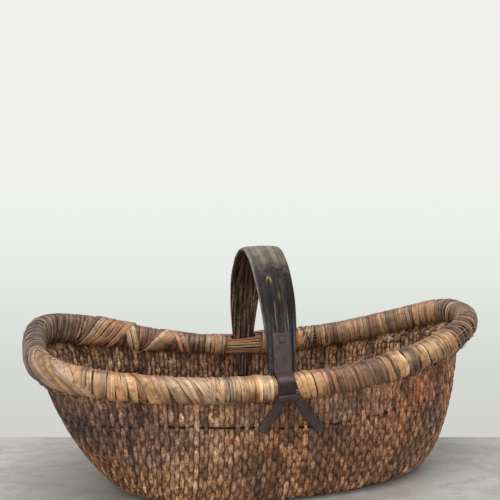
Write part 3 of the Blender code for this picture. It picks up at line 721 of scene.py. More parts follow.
def build_reeds(weave, finish):
    """Reeds that swing from face to face of the wall, neighbours in turn."""
    number = np.arange(REEDS)[:, None]

    def uneven(shift, pace, run):
        return value_noise(REED_SEED + shift, number * pace, weave.climb / (run * MM))

    rng = np.random.default_rng(REED_SEED + 9)
    rows = weave.rows + (0.26 * uneven(5, 1.0, 18) + rng.normal(0, 0.10, (REEDS, 1)))
    swing = np.cos(math.pi * (rows + number))
    upper = smooth((weave.climb - weave.waist) / (12 * MM))
    tucked = smooth((weave.climb - weave.length + 34 * MM) / (12 * MM))
    reach = lerp(1.0, UPPER_SWING_SHARE, upper) * (1 - tucked) * (1 + 0.3 * uneven(6, 0.83, 17))
    offset = reach * plateau(swing + OUTER_BIAS)
    side = unit(np.cross(weave.normals, tangents(weave.points)))
    wander = 0.8 * MM * uneven(7, 0.77, 19)
    points = weave.points + weave.normals * offset[..., None] + side * wander[..., None]
    least, swell = REED_WIDTH_SHARES
    width = weave.spacing * (least + swell * np.abs(swing) * (1 - tucked))
    width = width * (1 + 0.20 * value_noise(REED_SEED + 8, number * 0.91, rows * 0.9))
    depth = REED_HALF_DEPTH * (0.95 + 0.15 * np.abs(swing))
    rings = sweep(points, weave.normals, oval(width / 2 * 1.06, depth, REED_SIDES))
    height = np.sin(REED_TURN)
    inner = height < 0
    # On the inner face the proud value is raised and evened out, which the material turns into
    # painted fill light
    face = np.where(inner, 0.35 * MM - 0.3 * offset[..., None], offset[..., None])
    bulge = np.where(inner, np.abs(height) ** 2.5 * 1.25, np.abs(height))
    proud = (face + depth[..., None] * bulge) / (REED_SWING + REED_HALF_DEPTH)
    # In the upper rows each reed's sides get painted shade and its middle a painted highlight
    proud = lerp(proud, 0.3 + 0.7 * np.abs(height), 0.6 * upper[..., None])
    # Painted light: the upper half of each float lighter, the lower half darker
    proud = proud + PAINTED_GRAIN_LIGHT * np.sin(math.pi * (rows + number))[..., None] * height
    grain = reed_grain(width, weave.climb, number * 0.37)
    outer_tint, inner_tint = (
        reed_tints(REED_SEED + shift, weave.points, number, (rows + number + shift) / 2 + 0.5,
                   weave.climb) for shift in (0, 1))
    # The inner face's tint is lifted by painted fill light
    tint = np.where(inner[:, None], inner_tint * INNER_PAINTED_FILL, outer_tint)
    names = ("front_right", "rear_right", "rear_left", "front_left")
    pieces = [add_piece("reeds_" + name, rings[part], finish, "woven_reed",
                        grain=grain[part], tint=tint[part], proud=proud[part])
              for name, part in zip(names, np.array_split(np.arange(REEDS), len(names)))]
    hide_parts("woven_body")


def build_wefts(weave, finish):
    """Flat bands of packed cord that run round the wall between its two faces."""
    count = int(weave.rows.max()) + 2
    points, normals = map(np.array, zip(*map(weave.at_row, range(count))))
    high = np.linalg.norm(np.diff(points, axis=0), axis=-1)
    high = np.concatenate([high, high[-1:]])
    high = np.maximum(np.maximum(high, np.roll(high, 1, 0)) * WEFT_COVER_SHARE, 1 * MM)
    section = oval(high, np.full(high.shape, WEFT_HALF_DEPTH), WEFT_SIDES)
    grain = joined(np.linspace(0, 2 * ROW_PITCH, WEFT_SIDES),
                   np.linspace(0, RIM.total, REEDS)[None, :, None],
                   np.arange(count)[:, None, None] * 1.7)
    add_piece("weft_bands", sweep(points, normals, section, looped=True), finish, "dark_cord",
              looped=True, grain=grain)


WAIST_SAMPLES = 3
WAIST_RADIUS = 1.25 * MM
CORD_RADIUS = 0.95 * MM
# Along the basket, in metres: where the waist cord shows at all, and up to where it often does
CORD_SHOWN = (-0.13, 0.20)
CORD_OFTEN_SHOWN_TO = 0.045
CORD_SUNK = 4.4 * MM
CORD_IN_SIGHT = 0.4 * MM
CORD_SIDES = 6


def build_waist_cord(weave, finish):
    """Stouter cord outside the wall, which some of the reeds pass over."""
    rng = np.random.default_rng(5)
    stops = []
    for i in range(REEDS):
        k = np.interp(weave.waist[i, 0], weave.climb[i, ::-1], np.arange(REED_STEPS)[::-1])
        low = min(int(k), REED_STEPS - 2)
        stops.append([*lerp(weave.points[i, low], weave.points[i, low + 1], k - low),
                      *weave.normals[i, low]])
    stops = np.array(stops)
    x = stops[:, 0]
    bare = np.where(x < CORD_OFTEN_SHOWN_TO, 0.25, -0.30)
    hidden = value_noise(9, np.arange(REEDS) / 1.9, 0.5) + rng.uniform(-0.4, 0.4, REEDS) > bare
    over = (np.arange(REEDS) % 2 == 0) & (rng.random(REEDS) < 0.8)
    sink = np.where(hidden | (x < CORD_SHOWN[0]) | (x > CORD_SHOWN[1]) | over, CORD_SUNK,
                    CORD_IN_SIGHT)
    fine = np.arange(REEDS * WAIST_SAMPLES) / WAIST_SAMPLES
    table = np.concatenate([stops, sink[:, None]], 1)
    line = read_line(fine, np.arange(REEDS + 1), np.concatenate([table, table[:1]]))
    normals = unit(line[:, 3:6])
    points = line[:, :3] + normals * (WALL_THICKNESS / 2 + 0.7 * MM - line[:, 6:])
    radius = np.full((1, len(fine)), WAIST_RADIUS)
    rings = sweep(points[None], normals[None], oval(radius, radius, CORD_SIDES), looped=True)
    grain = cord_grain(WAIST_RADIUS, CORD_SIDES, np.linspace(0, RIM.total, len(fine))[None], 0.0)
    cord = add_piece("waist_lashing", rings, finish, "dark_cord", looped=True, grain=grain)
    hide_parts("waist_cord")


FLOOR_REED_PITCH = 6.4 * MM
FLOOR_STEPS = 120
FLOOR_INSET = BASE_EDGE_RADIUS + BASE_RUN - 5 * MM
FLOOR_LEFT = FLOOR_INSET - BASE_LEFT_HALF_LENGTH
FLOOR_RIGHT = BASE_RIGHT_HALF_LENGTH - FLOOR_INSET


def build_floor_reeds(finish):
    """Reeds across the base, from wall to wall."""
    count = int((FLOOR_RIGHT - FLOOR_LEFT) / FLOOR_REED_PITCH)
    x = lerp(FLOOR_LEFT, FLOOR_RIGHT, (np.arange(count) + 0.5) / count)[:, None]
    reach = np.where(x < 0, -FLOOR_LEFT, FLOOR_RIGHT)
    half = (BASE_HALF_WIDTH * egg(x) - FLOOR_INSET) * np.sqrt(1 - (x / reach) ** 2)
    y = half * np.linspace(-1, 1, FLOOR_STEPS)
    number = np.arange(count)[:, None]
    rows = y / ROW_PITCH + 0.10 * value_noise(31, number * 0.47, y / (26 * MM))
    swing = np.cos(math.pi * (rows + number))
    offset = plateau(swing)
    points = joined(x, y, WALL_THICKNESS / 2 + offset)
    down = np.broadcast_to([0.0, 0.0, -1.0], points.shape)
    width = FLOOR_REED_PITCH * (REED_WIDTH_SHARES[0] + REED_WIDTH_SHARES[1] * np.abs(swing))
    depth = np.full_like(width, REED_HALF_DEPTH)
    rings = sweep(points, down, oval(width / 2, depth, REED_SIDES))
    # How far each face stands proud, which the material turns into painted shade in the dips, and
    # wear and a painted highlight on the floats
    proud = (np.abs(-offset[..., None] + depth[..., None] * np.sin(REED_TURN))
             / (REED_SWING + REED_HALF_DEPTH))
    tint = reed_tints(33, points, number, (rows + number) / 2 + 60.5, y + 1)
    add_piece("floor_reeds", rings, finish, "woven_reed", grain=reed_grain(width, y, number * 0.41),
              tint=tint, proud=proud)


def build_floor_cords(finish):
    """Cords that run lengthwise between the floor reeds."""
    lines = np.arange(-10, 11)[:, None] * ROW_PITCH
    share = np.sqrt(np.clip(1 - (lines / (BASE_HALF_WIDTH - FLOOR_INSET)) ** 2, 0.02, 1))
    x = np.linspace(-1, 1, 160)[None]
    x = np.where(x < 0, -FLOOR_LEFT, FLOOR_RIGHT) * share * x
    points = joined(x, lines, WALL_THICKNESS / 2)
    radius = np.full(x.shape, CORD_RADIUS)
    rings = sweep(points, np.broadcast_to([0.0, 0.0, 1.0], points.shape),
                  oval(radius, radius, CORD_SIDES))
    add_piece("floor_cords", rings, finish, "dark_cord",
              grain=cord_grain(CORD_RADIUS, CORD_SIDES, x, lines[..., None] * 90))


# Rim: bundle and binding

BINDING_HALF_WIDTH = 13.4 * MM
BINDING_TOP = 9.4 * MM
BINDING_FLOOR = -20.6 * MM
BINDING_ROUNDNESS = 2.5
BINDING_OPEN_ANGLE = math.radians(72)
STRAND_RADIUS = 1.75 * MM
STRANDS = 18
STRAND_STEPS = 480
STRAND_SIDES = 6
STRAND_COLOURS = ("rust", "orange", "rust", "tan", "brown")
# How much higher or lower the rear binding is padded, by the rim's length in m and mm
REAR_PADDING = ((0.665, 0), (0.69, -3.5), (0.74, -5), (0.79, -3), (0.82, 0), (0.86, 4), (0.90, 8),
                (0.95, 8.5), (0.975, 6), (1.01, 0))
CAP_BARE = 17 * MM
# Run of the rim, in metres, where the bare rods catch the light, painted into their colour
RODS_IN_LIGHT = (0.055, 0.135)

PALETTE = {name: linear(*colour) for name, colour in {
    "gold": (212, 164, 112), "honey": (190, 144, 98), "cream": (216, 180, 142),
    "beige": (196, 164, 134), "tan": (174, 140, 108), "orange": (180, 126, 86),
    "rust": (146, 103, 76), "brown": (126, 94, 70), "umber": (100, 74, 58),
    "grey": (142, 119, 95), "mauve": (112, 89, 76)}.items()}


class Contour:
    """Section of the binding: from under its outside, over the top, to under its inside."""

    def __init__(self):
        turn = np.linspace(-BINDING_OPEN_ANGLE, math.pi + BINDING_OPEN_ANGLE, 400)
        power = 2 / BINDING_ROUNDNESS
        middle, half = (BINDING_TOP + BINDING_FLOOR) / 2, (BINDING_TOP - BINDING_FLOOR) / 2
        self.line = np.stack([BINDING_HALF_WIDTH * signed_power(np.cos(turn), power),
                              middle + half * signed_power(np.sin(turn), power)], -1)
        run = distances(self.line)
        self.share, self.length = run / run[-1], run[-1]

    def at(self, share, inset):
        """Offsets outward and up at this share of the way, moved in by an inset."""
        behind, here, ahead = (read_line(np.clip(share + step, 0, 1) if step else share,
                                         self.share, self.line) for step in (-0.01, 0, 0.01))
        dx, dy = np.moveaxis(ahead - behind, -1, 0)
        normal = unit(np.stack([dy, -dx], -1))
        moved = here - np.asarray(inset)[..., None] * normal
        return moved[..., 0], moved[..., 1], normal


CONTOUR = Contour()


def on_binding(s, share, lift):
    """Point and outward normal on the binding, lifted off the bundle."""
    out, up, normal = CONTOUR.at(share, -lift)
    stops, rises = np.array(REAR_PADDING).T
    up = up + np.interp(s % RIM.total, stops, rises * MM) * smooth((up + 8 * MM) / (16 * MM))
    turned = (RIM.read(RIM.outward, s) * normal[..., :1] + RIM.read(RIM.up, s) * normal[..., 1:])
    return RIM.place(s, out, up), unit(turned)


def build_strands(finish):
    """Thin rods of the bundle, close under the binding and bare at the handle's feet."""
    rng = np.random.default_rng(21)
    shares = (np.arange(STRANDS) + 0.5) / STRANDS
    cap = np.abs(shares - 0.5) < 0.09
    hoop = np.arange(STRAND_STEPS)[None] / STRAND_STEPS * RIM.total
    half = np.linspace(0, 1, STRAND_STEPS // 2)[None]
    left = lerp(CAP_BARE, RIM.rear - CAP_BARE, half)
    right = lerp(RIM.rear + CAP_BARE, RIM.total - CAP_BARE, half)
    caps = np.concatenate([left, right] * np.count_nonzero(cap))
    for name, chosen, s in (("outer", shares[(shares < 0.5) & ~cap], hoop),
                            ("inner", shares[(shares > 0.5) & ~cap], hoop),
                            ("cap", np.repeat(shares[cap], 2), caps)):
        looped = name != "cap"
        count = len(chosen)
        s = np.broadcast_to(s, (count, s.shape[1]))
        number = np.arange(count)[:, None]
        near_foot = 1 - smooth((RIM.from_foot(s) - 8 * MM) / (20 * MM))
        wave = value_noise(22 + count, number * 1.7 + 3, s / (16 * MM))
        slide = value_noise(29 + count, number * 2.3 + 3, s / (21 * MM))
        inset = STRAND_RADIUS + (0.5 + 0.55 * wave + 2.0 * near_foot * (chosen < 0.5)[:, None]) * MM
        points, normals = on_binding(s, chosen[:, None] + 0.008 * slide, -inset)
        radius = STRAND_RADIUS * (1 + 0.2 * value_noise(37, number * 3.1, s / (60 * MM)))
        rings = sweep(points, normals, oval(radius, radius, STRAND_SIDES), looped)
        picks = rng.integers(0, len(STRAND_COLOURS), count)
        tint = np.array([PALETTE[STRAND_COLOURS[i]] for i in picks])
        # Painted light on the rods: painted shade under the binding, full tone or lighter near the
        # handle's feet and where they lie bare
        painted_rod_light = lerp(0.30, 1.2, 1 - smooth((RIM.from_foot(s) - 20 * MM) / (10 * MM)))
        low, high = RODS_IN_LIGHT
        painted_rod_light = np.maximum(painted_rod_light, 0.9 * smooth((s % RIM.total - low) / 0.01)
                           * smooth((high - s % RIM.total) / 0.01))
        tint = tint[:, None] * painted_rod_light[..., None]
        piece = add_piece("rim_rods_" + name, rings, finish, "rim_rod", looped,
                          grain=cord_grain(STRAND_RADIUS, STRAND_SIDES, s, number[..., None] * 2.9),
                          tint=tint[:, :, None])
        nodes = ([f"{name}_hoop_rod_{i}" for i in (1, 2, 3)] if looped
                 else ["cap_rod_left", "cap_rod_right"])
        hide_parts(*nodes)


# One stretch of binding: where it ends along the rim, its splints' width in mm, how far in mm
# their feet lie along the rim from their tops outside and inside, how far down the inside they
# reach, how much darker their feet are with dirt and painted shade, and their colours
Stretch = namedtuple("Stretch", "end width lean_out lean_in inside dirt colours")
BINDING = (
    (0.044, 8.0, 7, 3, 1.0, 0.30, "gold gold honey gold"),
    (0.060, 4.5, 7, 3, 1.0, 0.70, "orange brown honey"),
    (0.128, 4.4, 9, 5, 0.62, 0.35, "rust rust brown orange rust"),
    (0.141, 4.5, 10, 6, 0.80, 0.25, "brown honey rust"),
    (0.157, 15.0, 6, 3, 1.0, 0.12, "cream"),
    (0.171, 7.0, 5, 3, 1.0, 0.30, "mauve umber mauve"),
    (0.232, 4.2, 6, 6, 1.0, 0.45, "gold honey gold honey tan"),
    (0.300, 2.8, 11, 7, 1.0, 0.45, "brown tan grey brown umber"),
    (0.385, 2.8, 8, 8, 1.0, 0.30, "grey brown tan umber tan"),
    (0.440, 5.0, 6, 4, 1.0, 0.20, "tan honey brown tan honey"),
    (0.575, 3.2, 6, 1, 1.0, 0.25, "tan honey tan brown tan rust"),
    (0.592, 2.8, 8, 11, 1.0, 0.20, "brown umber tan"),
    (0.612, 8.0, 4, 1, 1.0, 0.15, "gold honey"),
    (0.660, 5.0, 4, 2, 1.0, 0.30, "orange honey brown"),
    (0.736, 5.5, 4, 1, 1.0, 0.15, "tan beige honey"),
    (0.800, 6.5, 10, 3, 1.0, 0.35, "brown umber rust brown"),
    (0.845, 6.0, 12, 4, 1.0, 0.50, "brown rust brown"),
    (0.900, 6.5, 12, 30, 0.92, 0.25, "rust honey brown honey"),
    (0.950, 3.4, 12, 12, 1.0, 0.35, "grey brown umber tan mauve"),
    (1.010, 3.0, 20, 9, 1.0, 0.35, "grey brown mauve umber tan"),
    (1.060, 3.2, 34, 10, 1.0, 0.30, "grey tan brown umber brown"),
    (1.110, 4.0, 62, 14, 1.0, 0.35, "tan grey brown brown umber"),
    (1.162, 6.2, 66, 10, 1.0, 0.10, "tan honey beige grey tan"),
    (1.182, 5.5, 34, 6, 1.0, 0.10, "honey gold tan"),
    (1.226, 7.5, 5, 2, 1.0, 0.20, "honey gold honey tan"),
    (1.240, 7.0, 9, 3, 1.0, 0.20, "honey gold"),
    (1.252, 6.5, 14, 4, 1.0, 0.25, "orange gold honey"),
    (1.268, 6.0, 19, 5, 1.0, 0.30, "orange rust honey"),
    (1.290, 4.6, 24, 7, 1.0, 0.45, "honey beige tan"),
    (1.334, 4.2, 28, 8, 1.0, 0.55, "beige beige tan beige cream"),
    (1.352, 7.5, 3, 5, 1.0, 0.15, "beige honey"),
    (1.386, 4.6, 4, 5, 1.0, 0.60, "beige honey beige"),
    (1.440, 4.2, 2, 2, 1.0, 1.00, "cream honey gold cream"),
)
FOOT_GAP = 10.2 * MM
# How much paler the outer shoulder of each splint is: wear and a painted highlight
CROWN_WEAR_AND_SHEEN = 0.31
# How much darker the crest of the roll is: dirt and painted shade
CREST_DIRT_AND_SHADE = 0.52

# Loose splints that cross over the others: top and foot along the rim, width in mm, where they
# start and end on the contour, lift in mm, taper and colour
CROSSINGS = (
    (0.773, 0.755, 7.0, 0.46, 1.00, 1.3, 0.5, "tan"),
    (0.781, 0.766, 6.0, 0.46, 0.93, 1.6, 0.5, "orange"),
    (0.762, 0.800, 8.0, 0.44, 0.94, 1.1, 0.3, "brown"),
    (0.770, 0.810, 8.0, 0.44, 0.97, 1.5, 0.3, "rust"),
    (0.778, 0.818, 7.0, 0.44, 1.00, 1.9, 0.3, "tan"),
    (0.786, 0.826, 6.0, 0.44, 1.04, 2.3, 0.7, "cream"),
    (0.792, 0.824, 6.0, 0.44, 0.93, 1.2, 0.3, "rust"),
    (0.845, 0.827, 8.0, 0.46, 1.05, 2.2, 0.3, "cream"),
    (0.853, 0.838, 7.0, 0.46, 0.97, 2.5, 0.4, "cream"),
    (0.838, 0.878, 9.0, 0.42, 1.00, 2.7, 0.6, "honey"),
    (0.848, 0.888, 8.0, 0.42, 0.97, 2.2, 0.3, "rust"),
    (0.857, 0.896, 8.0, 0.42, 0.93, 1.8, 0.3, "orange"),
    (0.867, 0.907, 8.0, 0.42, 0.96, 2.1, 0.3, "honey"),
    (0.878, 0.918, 7.0, 0.42, 1.00, 2.4, 0.6, "beige"),
    (0.885, 0.922, 4.5, 0.44, 0.95, 1.6, 0.4, "brown"),
    (1.110, 1.176, 6.0, 0.05, 0.62, 1.4, 0.6, "beige"),
    (1.142, 1.192, 7.0, 0.00, 0.55, 1.7, 0.7, "gold"),
    (1.252, 1.292, 7.0, -0.02, 0.55, 1.4, 0.6, "honey"),
    (1.349, 1.349, 6.0, -0.06, 0.52, 1.2, 0.1, "beige"),
    (0.129, 0.137, 5.0, -0.02, 0.60, 1.3, 0.2, "honey"),
    (0.146, 0.152, 9.0, -0.03, 0.60, 1.5, 0.6, "gold"),
    (0.584, 0.600, 4.0, 0.44, 0.97, 1.2, 0.2, "tan"),
    (0.596, 0.578, 3.5, 0.44, 0.97, 1.5, 0.2, "brown"),
    (0.850, 0.858, 8.0, 0.46, 0.97, 0.3, 0.1, "brown"),
    (0.856, 0.868, 7.0, 0.46, 0.97, 0.4, 0.1, "rust"),
)
SPLINT_STEPS = 46
SPLINT_THICKNESS = 0.75 * MM
SPLINT_OVERLAP_SHARE = 0.05
FOOT_BARE_INSIDE = 26 * MM
SHORT_END = 0.53
# Runs of the rim, in metres, where the splints lie untidily, and where their shoulders get neither
# pale wear nor a painted highlight
UNTIDY_RUNS = ((0.24, 0.44), (0.95, 1.10))
NO_WEAR_SHEEN_RUNS = ((0.052, 0.14), (0.225, 1.15))
Splint = namedtuple("Splint",
                    "top width lean_out lean_in start end lift taper dirt seed pale colour")

# Corners of a splint's flat section with its crowned face: place across in shares of its width,
# shares of crown and of thickness, and painted shade on its sides and underside
SPLINT_ACROSS = np.array([-0.45, 0, 0.45, 0.5, 0.42, 0.2, -0.2, -0.42, -0.5])
SPLINT_FACE = np.array([0, 0, 0, 0.2, 0.75, 1, 1, 0.75, 0.2])
SPLINT_THICK = SPLINT_THICKNESS * np.array([0, 0, 0, 0.4, 1, 1, 1, 1, 0.4])
SPLINT_EDGE_PAINTED_SHADE = np.array([1, 1, 1, 1.0, 0.15, 0, 0, 0.15, 1.0])


def splint_rings(splints):
    """Rings and layers of values for a list of splints."""
    numbers = np.array([splint[:-1] for splint in splints]).T[..., None]
    top, width, lean_out, lean_in, start, end, lift, taper, dirt, seed, gets_wear_and_sheen = numbers
    share = lerp(start, end, np.linspace(0, 1, SPLINT_STEPS)[None])

    def uneven(noise_seed, pace, run):
        return value_noise(noise_seed, seed * pace, share * run)

    outside, inside = np.clip(0.5 - share, 0, 1) * 2, np.clip(share - 0.5, 0, 1) * 2
    s = top + lean_out * outside + lean_in * inside + uneven(41, 1.3, 5) * 0.16 * width
    near_foot = 1 - smooth((RIM.from_foot(s) - 10 * MM) / (14 * MM))
    raised = lift + 0.3 * MM * uneven(43, 0.7, 7) - 1.2 * MM * near_foot
    points, normals = on_binding(s, np.clip(share, 0, 1), raised)
    beyond = np.minimum(share, 0) + np.maximum(share - 1, 0)
    points[..., 2] -= np.abs(beyond) * CONTOUR.length
    feet = top + lean_out
    apart = np.diff(feet[:, 0], append=feet[-1:, 0]) / width[:, 0]
    apart = np.clip(np.maximum(apart, np.roll(apart, 1)), 1, 1.7)[:, None]
    broad = width * (1 + 0.12 * uneven(47, 2.1, 4)) * lerp(1, apart, outside * (lift < 0.9 * MM))
    broad = (broad * (1 - taper * np.maximum(outside, inside) ** 3))[..., None]
    depth = (0.035 * broad + 0.06 * MM) * SPLINT_FACE + SPLINT_THICK
    rings = sweep(points, normals, joined(broad * SPLINT_ACROSS, depth))
    rng = np.random.default_rng(67)
    tone = np.exp(rng.normal(0, 0.13, (len(splints), 1, 1)))
    tint = np.array([PALETTE[splint.colour] for splint in splints])[:, None] * tone
    patch = uneven(53, 1.9, 6)
    drift = value_noise(54, s / (9 * MM), share * 9)
    # Darker toward the feet outside and inside: dirt and painted shade
    dirt_and_shade = dirt * (smooth((outside - 0.25) / 0.6) + 0.8 * smooth((inside - 0.4) / 0.5))
    # Darker along the crest: dirt and painted shade
    dirt_and_shade = dirt_and_shade + CREST_DIRT_AND_SHADE * bell(share, 0.50, 0.085)
    dirt_and_shade = np.clip(dirt_and_shade * (1 + 0.5 * patch + 0.5 * drift), 0, 0.9)
    fade = np.clip(0.22 * uneven(59, 1.1, 3) + 0.10 * drift, -0.3, 0.3)
    tint = lerp(tint * (1 + fade[..., None]), tint * linear(150, 108, 84), dirt_and_shade[..., None])
    # Paler on the outer shoulder: wear and a painted highlight
    wear_and_sheen = CROWN_WEAR_AND_SHEEN * bell(share, 0.33, 0.09) * (1 + 0.8 * patch) * gets_wear_and_sheen
    tint = lerp(tint, linear(240, 202, 154), np.clip(wear_and_sheen, 0, 1)[..., None])
    grain = joined(SPLINT_ACROSS * broad, (share * CONTOUR.length)[..., None],
                   seed[..., None] * 3.3)
    # Painted shade on the sides and underside, of random strength
    edge = SPLINT_EDGE_PAINTED_SHADE * rng.uniform(0.10, 1.0, (len(splints), 1, 1))
    return rings, dict(grain=grain, tint=tint[:, :, None], edge=edge)


def within(place, runs):
    return any(low < place < high for low, high in runs)


def plan_binding():
    """All the splints of the rim, stretch by stretch, then those that cross over them."""
    rng = np.random.default_rng(61)
    splints, s = [], FOOT_GAP
    stops = (RIM.rear - FOOT_GAP, RIM.total - FOOT_GAP)
    for stretch in (Stretch(*row[:-1], row[-1].split()) for row in BINDING):
        while s < min(stretch.end, stops[1]) - 0.4 * stretch.width * MM:
            width = stretch.width * MM * rng.uniform(0.72, 1.28)
            if s < stops[0] < s + 1.4 * width:
                width = stops[0] - s
            width = min(width, stops[1] - s)
            top = s + width / 2
            last = stretch.inside * rng.uniform(0.96, 1.0)
            last = SHORT_END if RIM.from_foot(top) < FOOT_BARE_INSIDE else last
            wild = 0.7 if within(top, UNTIDY_RUNS) else 0.25
            leans = [lean * MM * rng.uniform(1 - wild, 1 + wild)
                     for lean in (stretch.lean_out, stretch.lean_in)]
            start, lift, taper = (rng.uniform(*ends)
                                  for ends in ((-0.02, 0.05), (0.0, 0.8), (0.05, 0.6)))
            colour = stretch.colours[rng.integers(len(stretch.colours))]
            gets_wear_and_sheen = not within(top, NO_WEAR_SHEEN_RUNS)
            splints.append(Splint(top, width * (1 + SPLINT_OVERLAP_SHARE), *leans, start, last,
                                  lift * MM, taper, stretch.dirt, len(splints), gets_wear_and_sheen, colour))
            s += width
            if abs(s - stops[0]) < 0.1 * MM:
                s = RIM.rear + FOOT_GAP
    for top, foot, width, start, end, lift, taper, colour in CROSSINGS:
        lean = (foot - top) / abs((start if start < 0.4 else end) - 0.5) / 2
        splints.append(Splint(top, width * MM, lean, lean, start, end, lift * MM, taper, 0.08,
                              len(splints), False, colour))
    return splints


def build_binding(finish):
    splints = plan_binding()
    halves = ([splint for splint in splints if splint.top < RIM.rear],
              [splint for splint in splints if splint.top >= RIM.rear])
    for name, half, first in zip(("right", "left"), halves, (1, 13)):
        rings, layers = splint_rings(half)
        piece = add_piece("binding_" + name, rings, finish, "rim_splint", **layers)
        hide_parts(*[f"rim_splint_{i:02d}" for i in range(first, first + 12)])


# Loose fibres: from and to along the rim, how many, where they leave the contour, and reach
FRAYS = ((0.24, 0.42, 22, 0.08, 0.75, 0.9), (0.92, 1.16, 12, 0.1, 0.7, 1.0),
         (1.19, 1.26, 14, 0.0, 0.12, 1.0), (1.26, 1.43, 12, 0.0, 0.10, 1.0),
         (0.02, 0.20, 12, 0.0, 0.12, 1.0), (0.44, 0.60, 8, 0.5, 0.98, 1.0),
         (0.19, 0.275, 22, 0.02, 0.30, 1.3), (0.06, 0.13, 24, 0.45, 0.62, 1.4))
FRAY_COLOURS = ("tan", "honey", "grey", "brown", "umber")
FRAY_STEPS = 14
FRAY_RADIUS = 0.42 * MM
FRAY_SIDES = 4


def build_frays(finish):
    """Loose fibres that spring off the binding."""
    rng = np.random.default_rng(83)
    fibres, colours = [], []
    run = np.linspace(0, 1, FRAY_STEPS)
    for low, high, count, first, last, scale in FRAYS:
        for _ in range(count):
            s = rng.uniform(low, high)
            share = rng.uniform(first, last)
            reach = rng.uniform(8, 24) * MM * rng.choice((-1, 1)) * scale
            drop = rng.uniform(-0.4, 0.6) * abs(reach)
            spring = rng.uniform(0.6, 3.0) * MM
            point, normal = on_binding(s + reach * run, np.full(FRAY_STEPS, share),
                                       0.9 * MM + spring * run ** 2)
            point[:, 2] -= drop * run * (1 + 0.4 * np.sin(4 * run))
            fibres.append((point, normal))
            colours.append(PALETTE[rng.choice(FRAY_COLOURS)])
    points, normals = np.array(fibres).swapaxes(0, 1)
    radius = np.broadcast_to(FRAY_RADIUS * (1 - 0.6 * run), points.shape[:2])
    rings = sweep(points, normals, oval(radius, radius, FRAY_SIDES))
    grain = joined(np.zeros(FRAY_SIDES), run[None, :, None] * 0.02,
                   np.arange(len(points))[:, None, None] * 1.3)
    add_piece("loose_fibres", rings, finish, "rim_splint", grain=grain,
              tint=np.array(colours)[:, None, None], edge=np.zeros((1, 1, 1)))


# Handle

HANDLE_STEPS = 300
HANDLE_SIDES = 110
# Heights from which its crown is worn, its edges are worn and carry a painted highlight, and the
# front leg's right edge carries a painted highlight, up to which its wood is blue-grey, and from
# which its inside gets painted shade
CROWN_WORN_FROM = 262 * MM
EDGE_WEAR_AND_HIGHLIGHT_FROM = 200 * MM
LEG_HIGHLIGHT_FROM = 215 * MM
COOL_UP_TO = 254 * MM
SHADED_FROM = 235 * MM


class Foot:
    """Local axes where a foot of the handle crosses the rim."""

    def __init__(self, index):
        s = (0.0, RIM.rear)[index]
        self.index = index
        self.here, self.outward, self.up = (RIM.read(table, s)
                                            for table in (RIM.points, RIM.outward, RIM.up))
        self.along = np.cross(self.up, self.outward)

    def at(self, along, out, up):
        return self.here + self.along * along + self.outward * out + self.up * up

    def up_to(self, height):
        return (height - self.here[2]) / self.up[2]


FEET = (Foot(0), Foot(1))


def handle_line():
    """Points of the outer face, its sideways directions and the length along it."""
    springs = []
    for foot in FEET:
        face = foot.at(0, -(WALL_THICKNESS / 2 + 0.3 * MM), 0)
        springs.append(face + foot.up * ((HANDLE_SPRING_HEIGHT - face[2]) / foot.up[2]))
    front, rear = springs
    angle = np.linspace(0, math.pi, 400)
    sweep_share = (1 - signed_power(np.cos(angle), 2 / ARCH_WIDTH_POWER)) / 2
    climb = np.abs(np.sin(angle)) ** (2 / ARCH_HEIGHT_POWER)
    arch = lerp(front, rear, sweep_share[:, None])
    arch[:, 2] = lerp(HANDLE_SPRING_HEIGHT, HANDLE_TOP_HEIGHT, climb)
    drop = np.linspace(TONGUE_LENGTH, 0, 40)[:-1, None]
    line = np.concatenate([front - FEET[0].up * drop, arch, (rear - FEET[1].up * drop)[::-1]])
    sides = np.where(angle[:, None] < math.pi / 2, FEET[0].along, -FEET[1].along)
    sides = lerp(sides, np.array([1.0, 0.0, 0.0]), smooth(climb)[:, None])
    sides = np.concatenate([FEET[0].along + drop * 0, sides, -FEET[1].along + drop * 0])
    run = distances(line)
    marks = np.linspace(0, run[-1], HANDLE_STEPS)
    return read_line(marks, run, line), unit(read_line(marks, run, sides)), marks


def box_outline(sides, flatness):
    """Rounded oblong from -1 to 1 each way, its points evenly spaced along a flat bar's edge."""
    turn = np.linspace(0, 2 * math.pi, 4001)
    line = signed_power(np.stack([np.cos(turn), np.sin(turn)], -1), 2 / flatness)
    run = distances(line * [1, 0.25])
    return read_line(run[-1] * (np.arange(sides) + 0.5) / sides, run, line).T


def handle_width(height):
    rise = HANDLE_TOP_HEIGHT - HANDLE_SPRING_HEIGHT
    climb = np.clip((height - HANDLE_SPRING_HEIGHT) / rise, 0, 1)
    drop = smooth((HANDLE_SPRING_HEIGHT - height) / TONGUE_LENGTH)
    return np.where(height < HANDLE_SPRING_HEIGHT, lerp(HANDLE_FOOT_WIDTH, TONGUE_TIP_WIDTH, drop),
                    lerp(HANDLE_FOOT_WIDTH, HANDLE_TOP_WIDTH, np.sin(climb * math.pi / 2)))


# Cracks and pale lines of the front leg: place across, lowest and highest in mm, spread,
# depth and paleness
CRACKS = ((0.34, 212, 262, 0.040, 1.0, 0.0), (0.24, 216, 256, 0.022, 0.0, 0.45),
          (0.60, 226, 252, 0.02, 0.7, 0.0), (-0.30, 236, 280, 0.03, 0.6, 0.15),
          (-0.10, 252, 266, 0.05, 0.0, 0.30), (-0.55, 222, 262, 0.03, 0.5, 0.0))
CHIP_ACROSS = 0.30
CHIP_HEIGHT = 275 * MM
CHIP_SIZE = (2.7 * MM, 4.6 * MM)


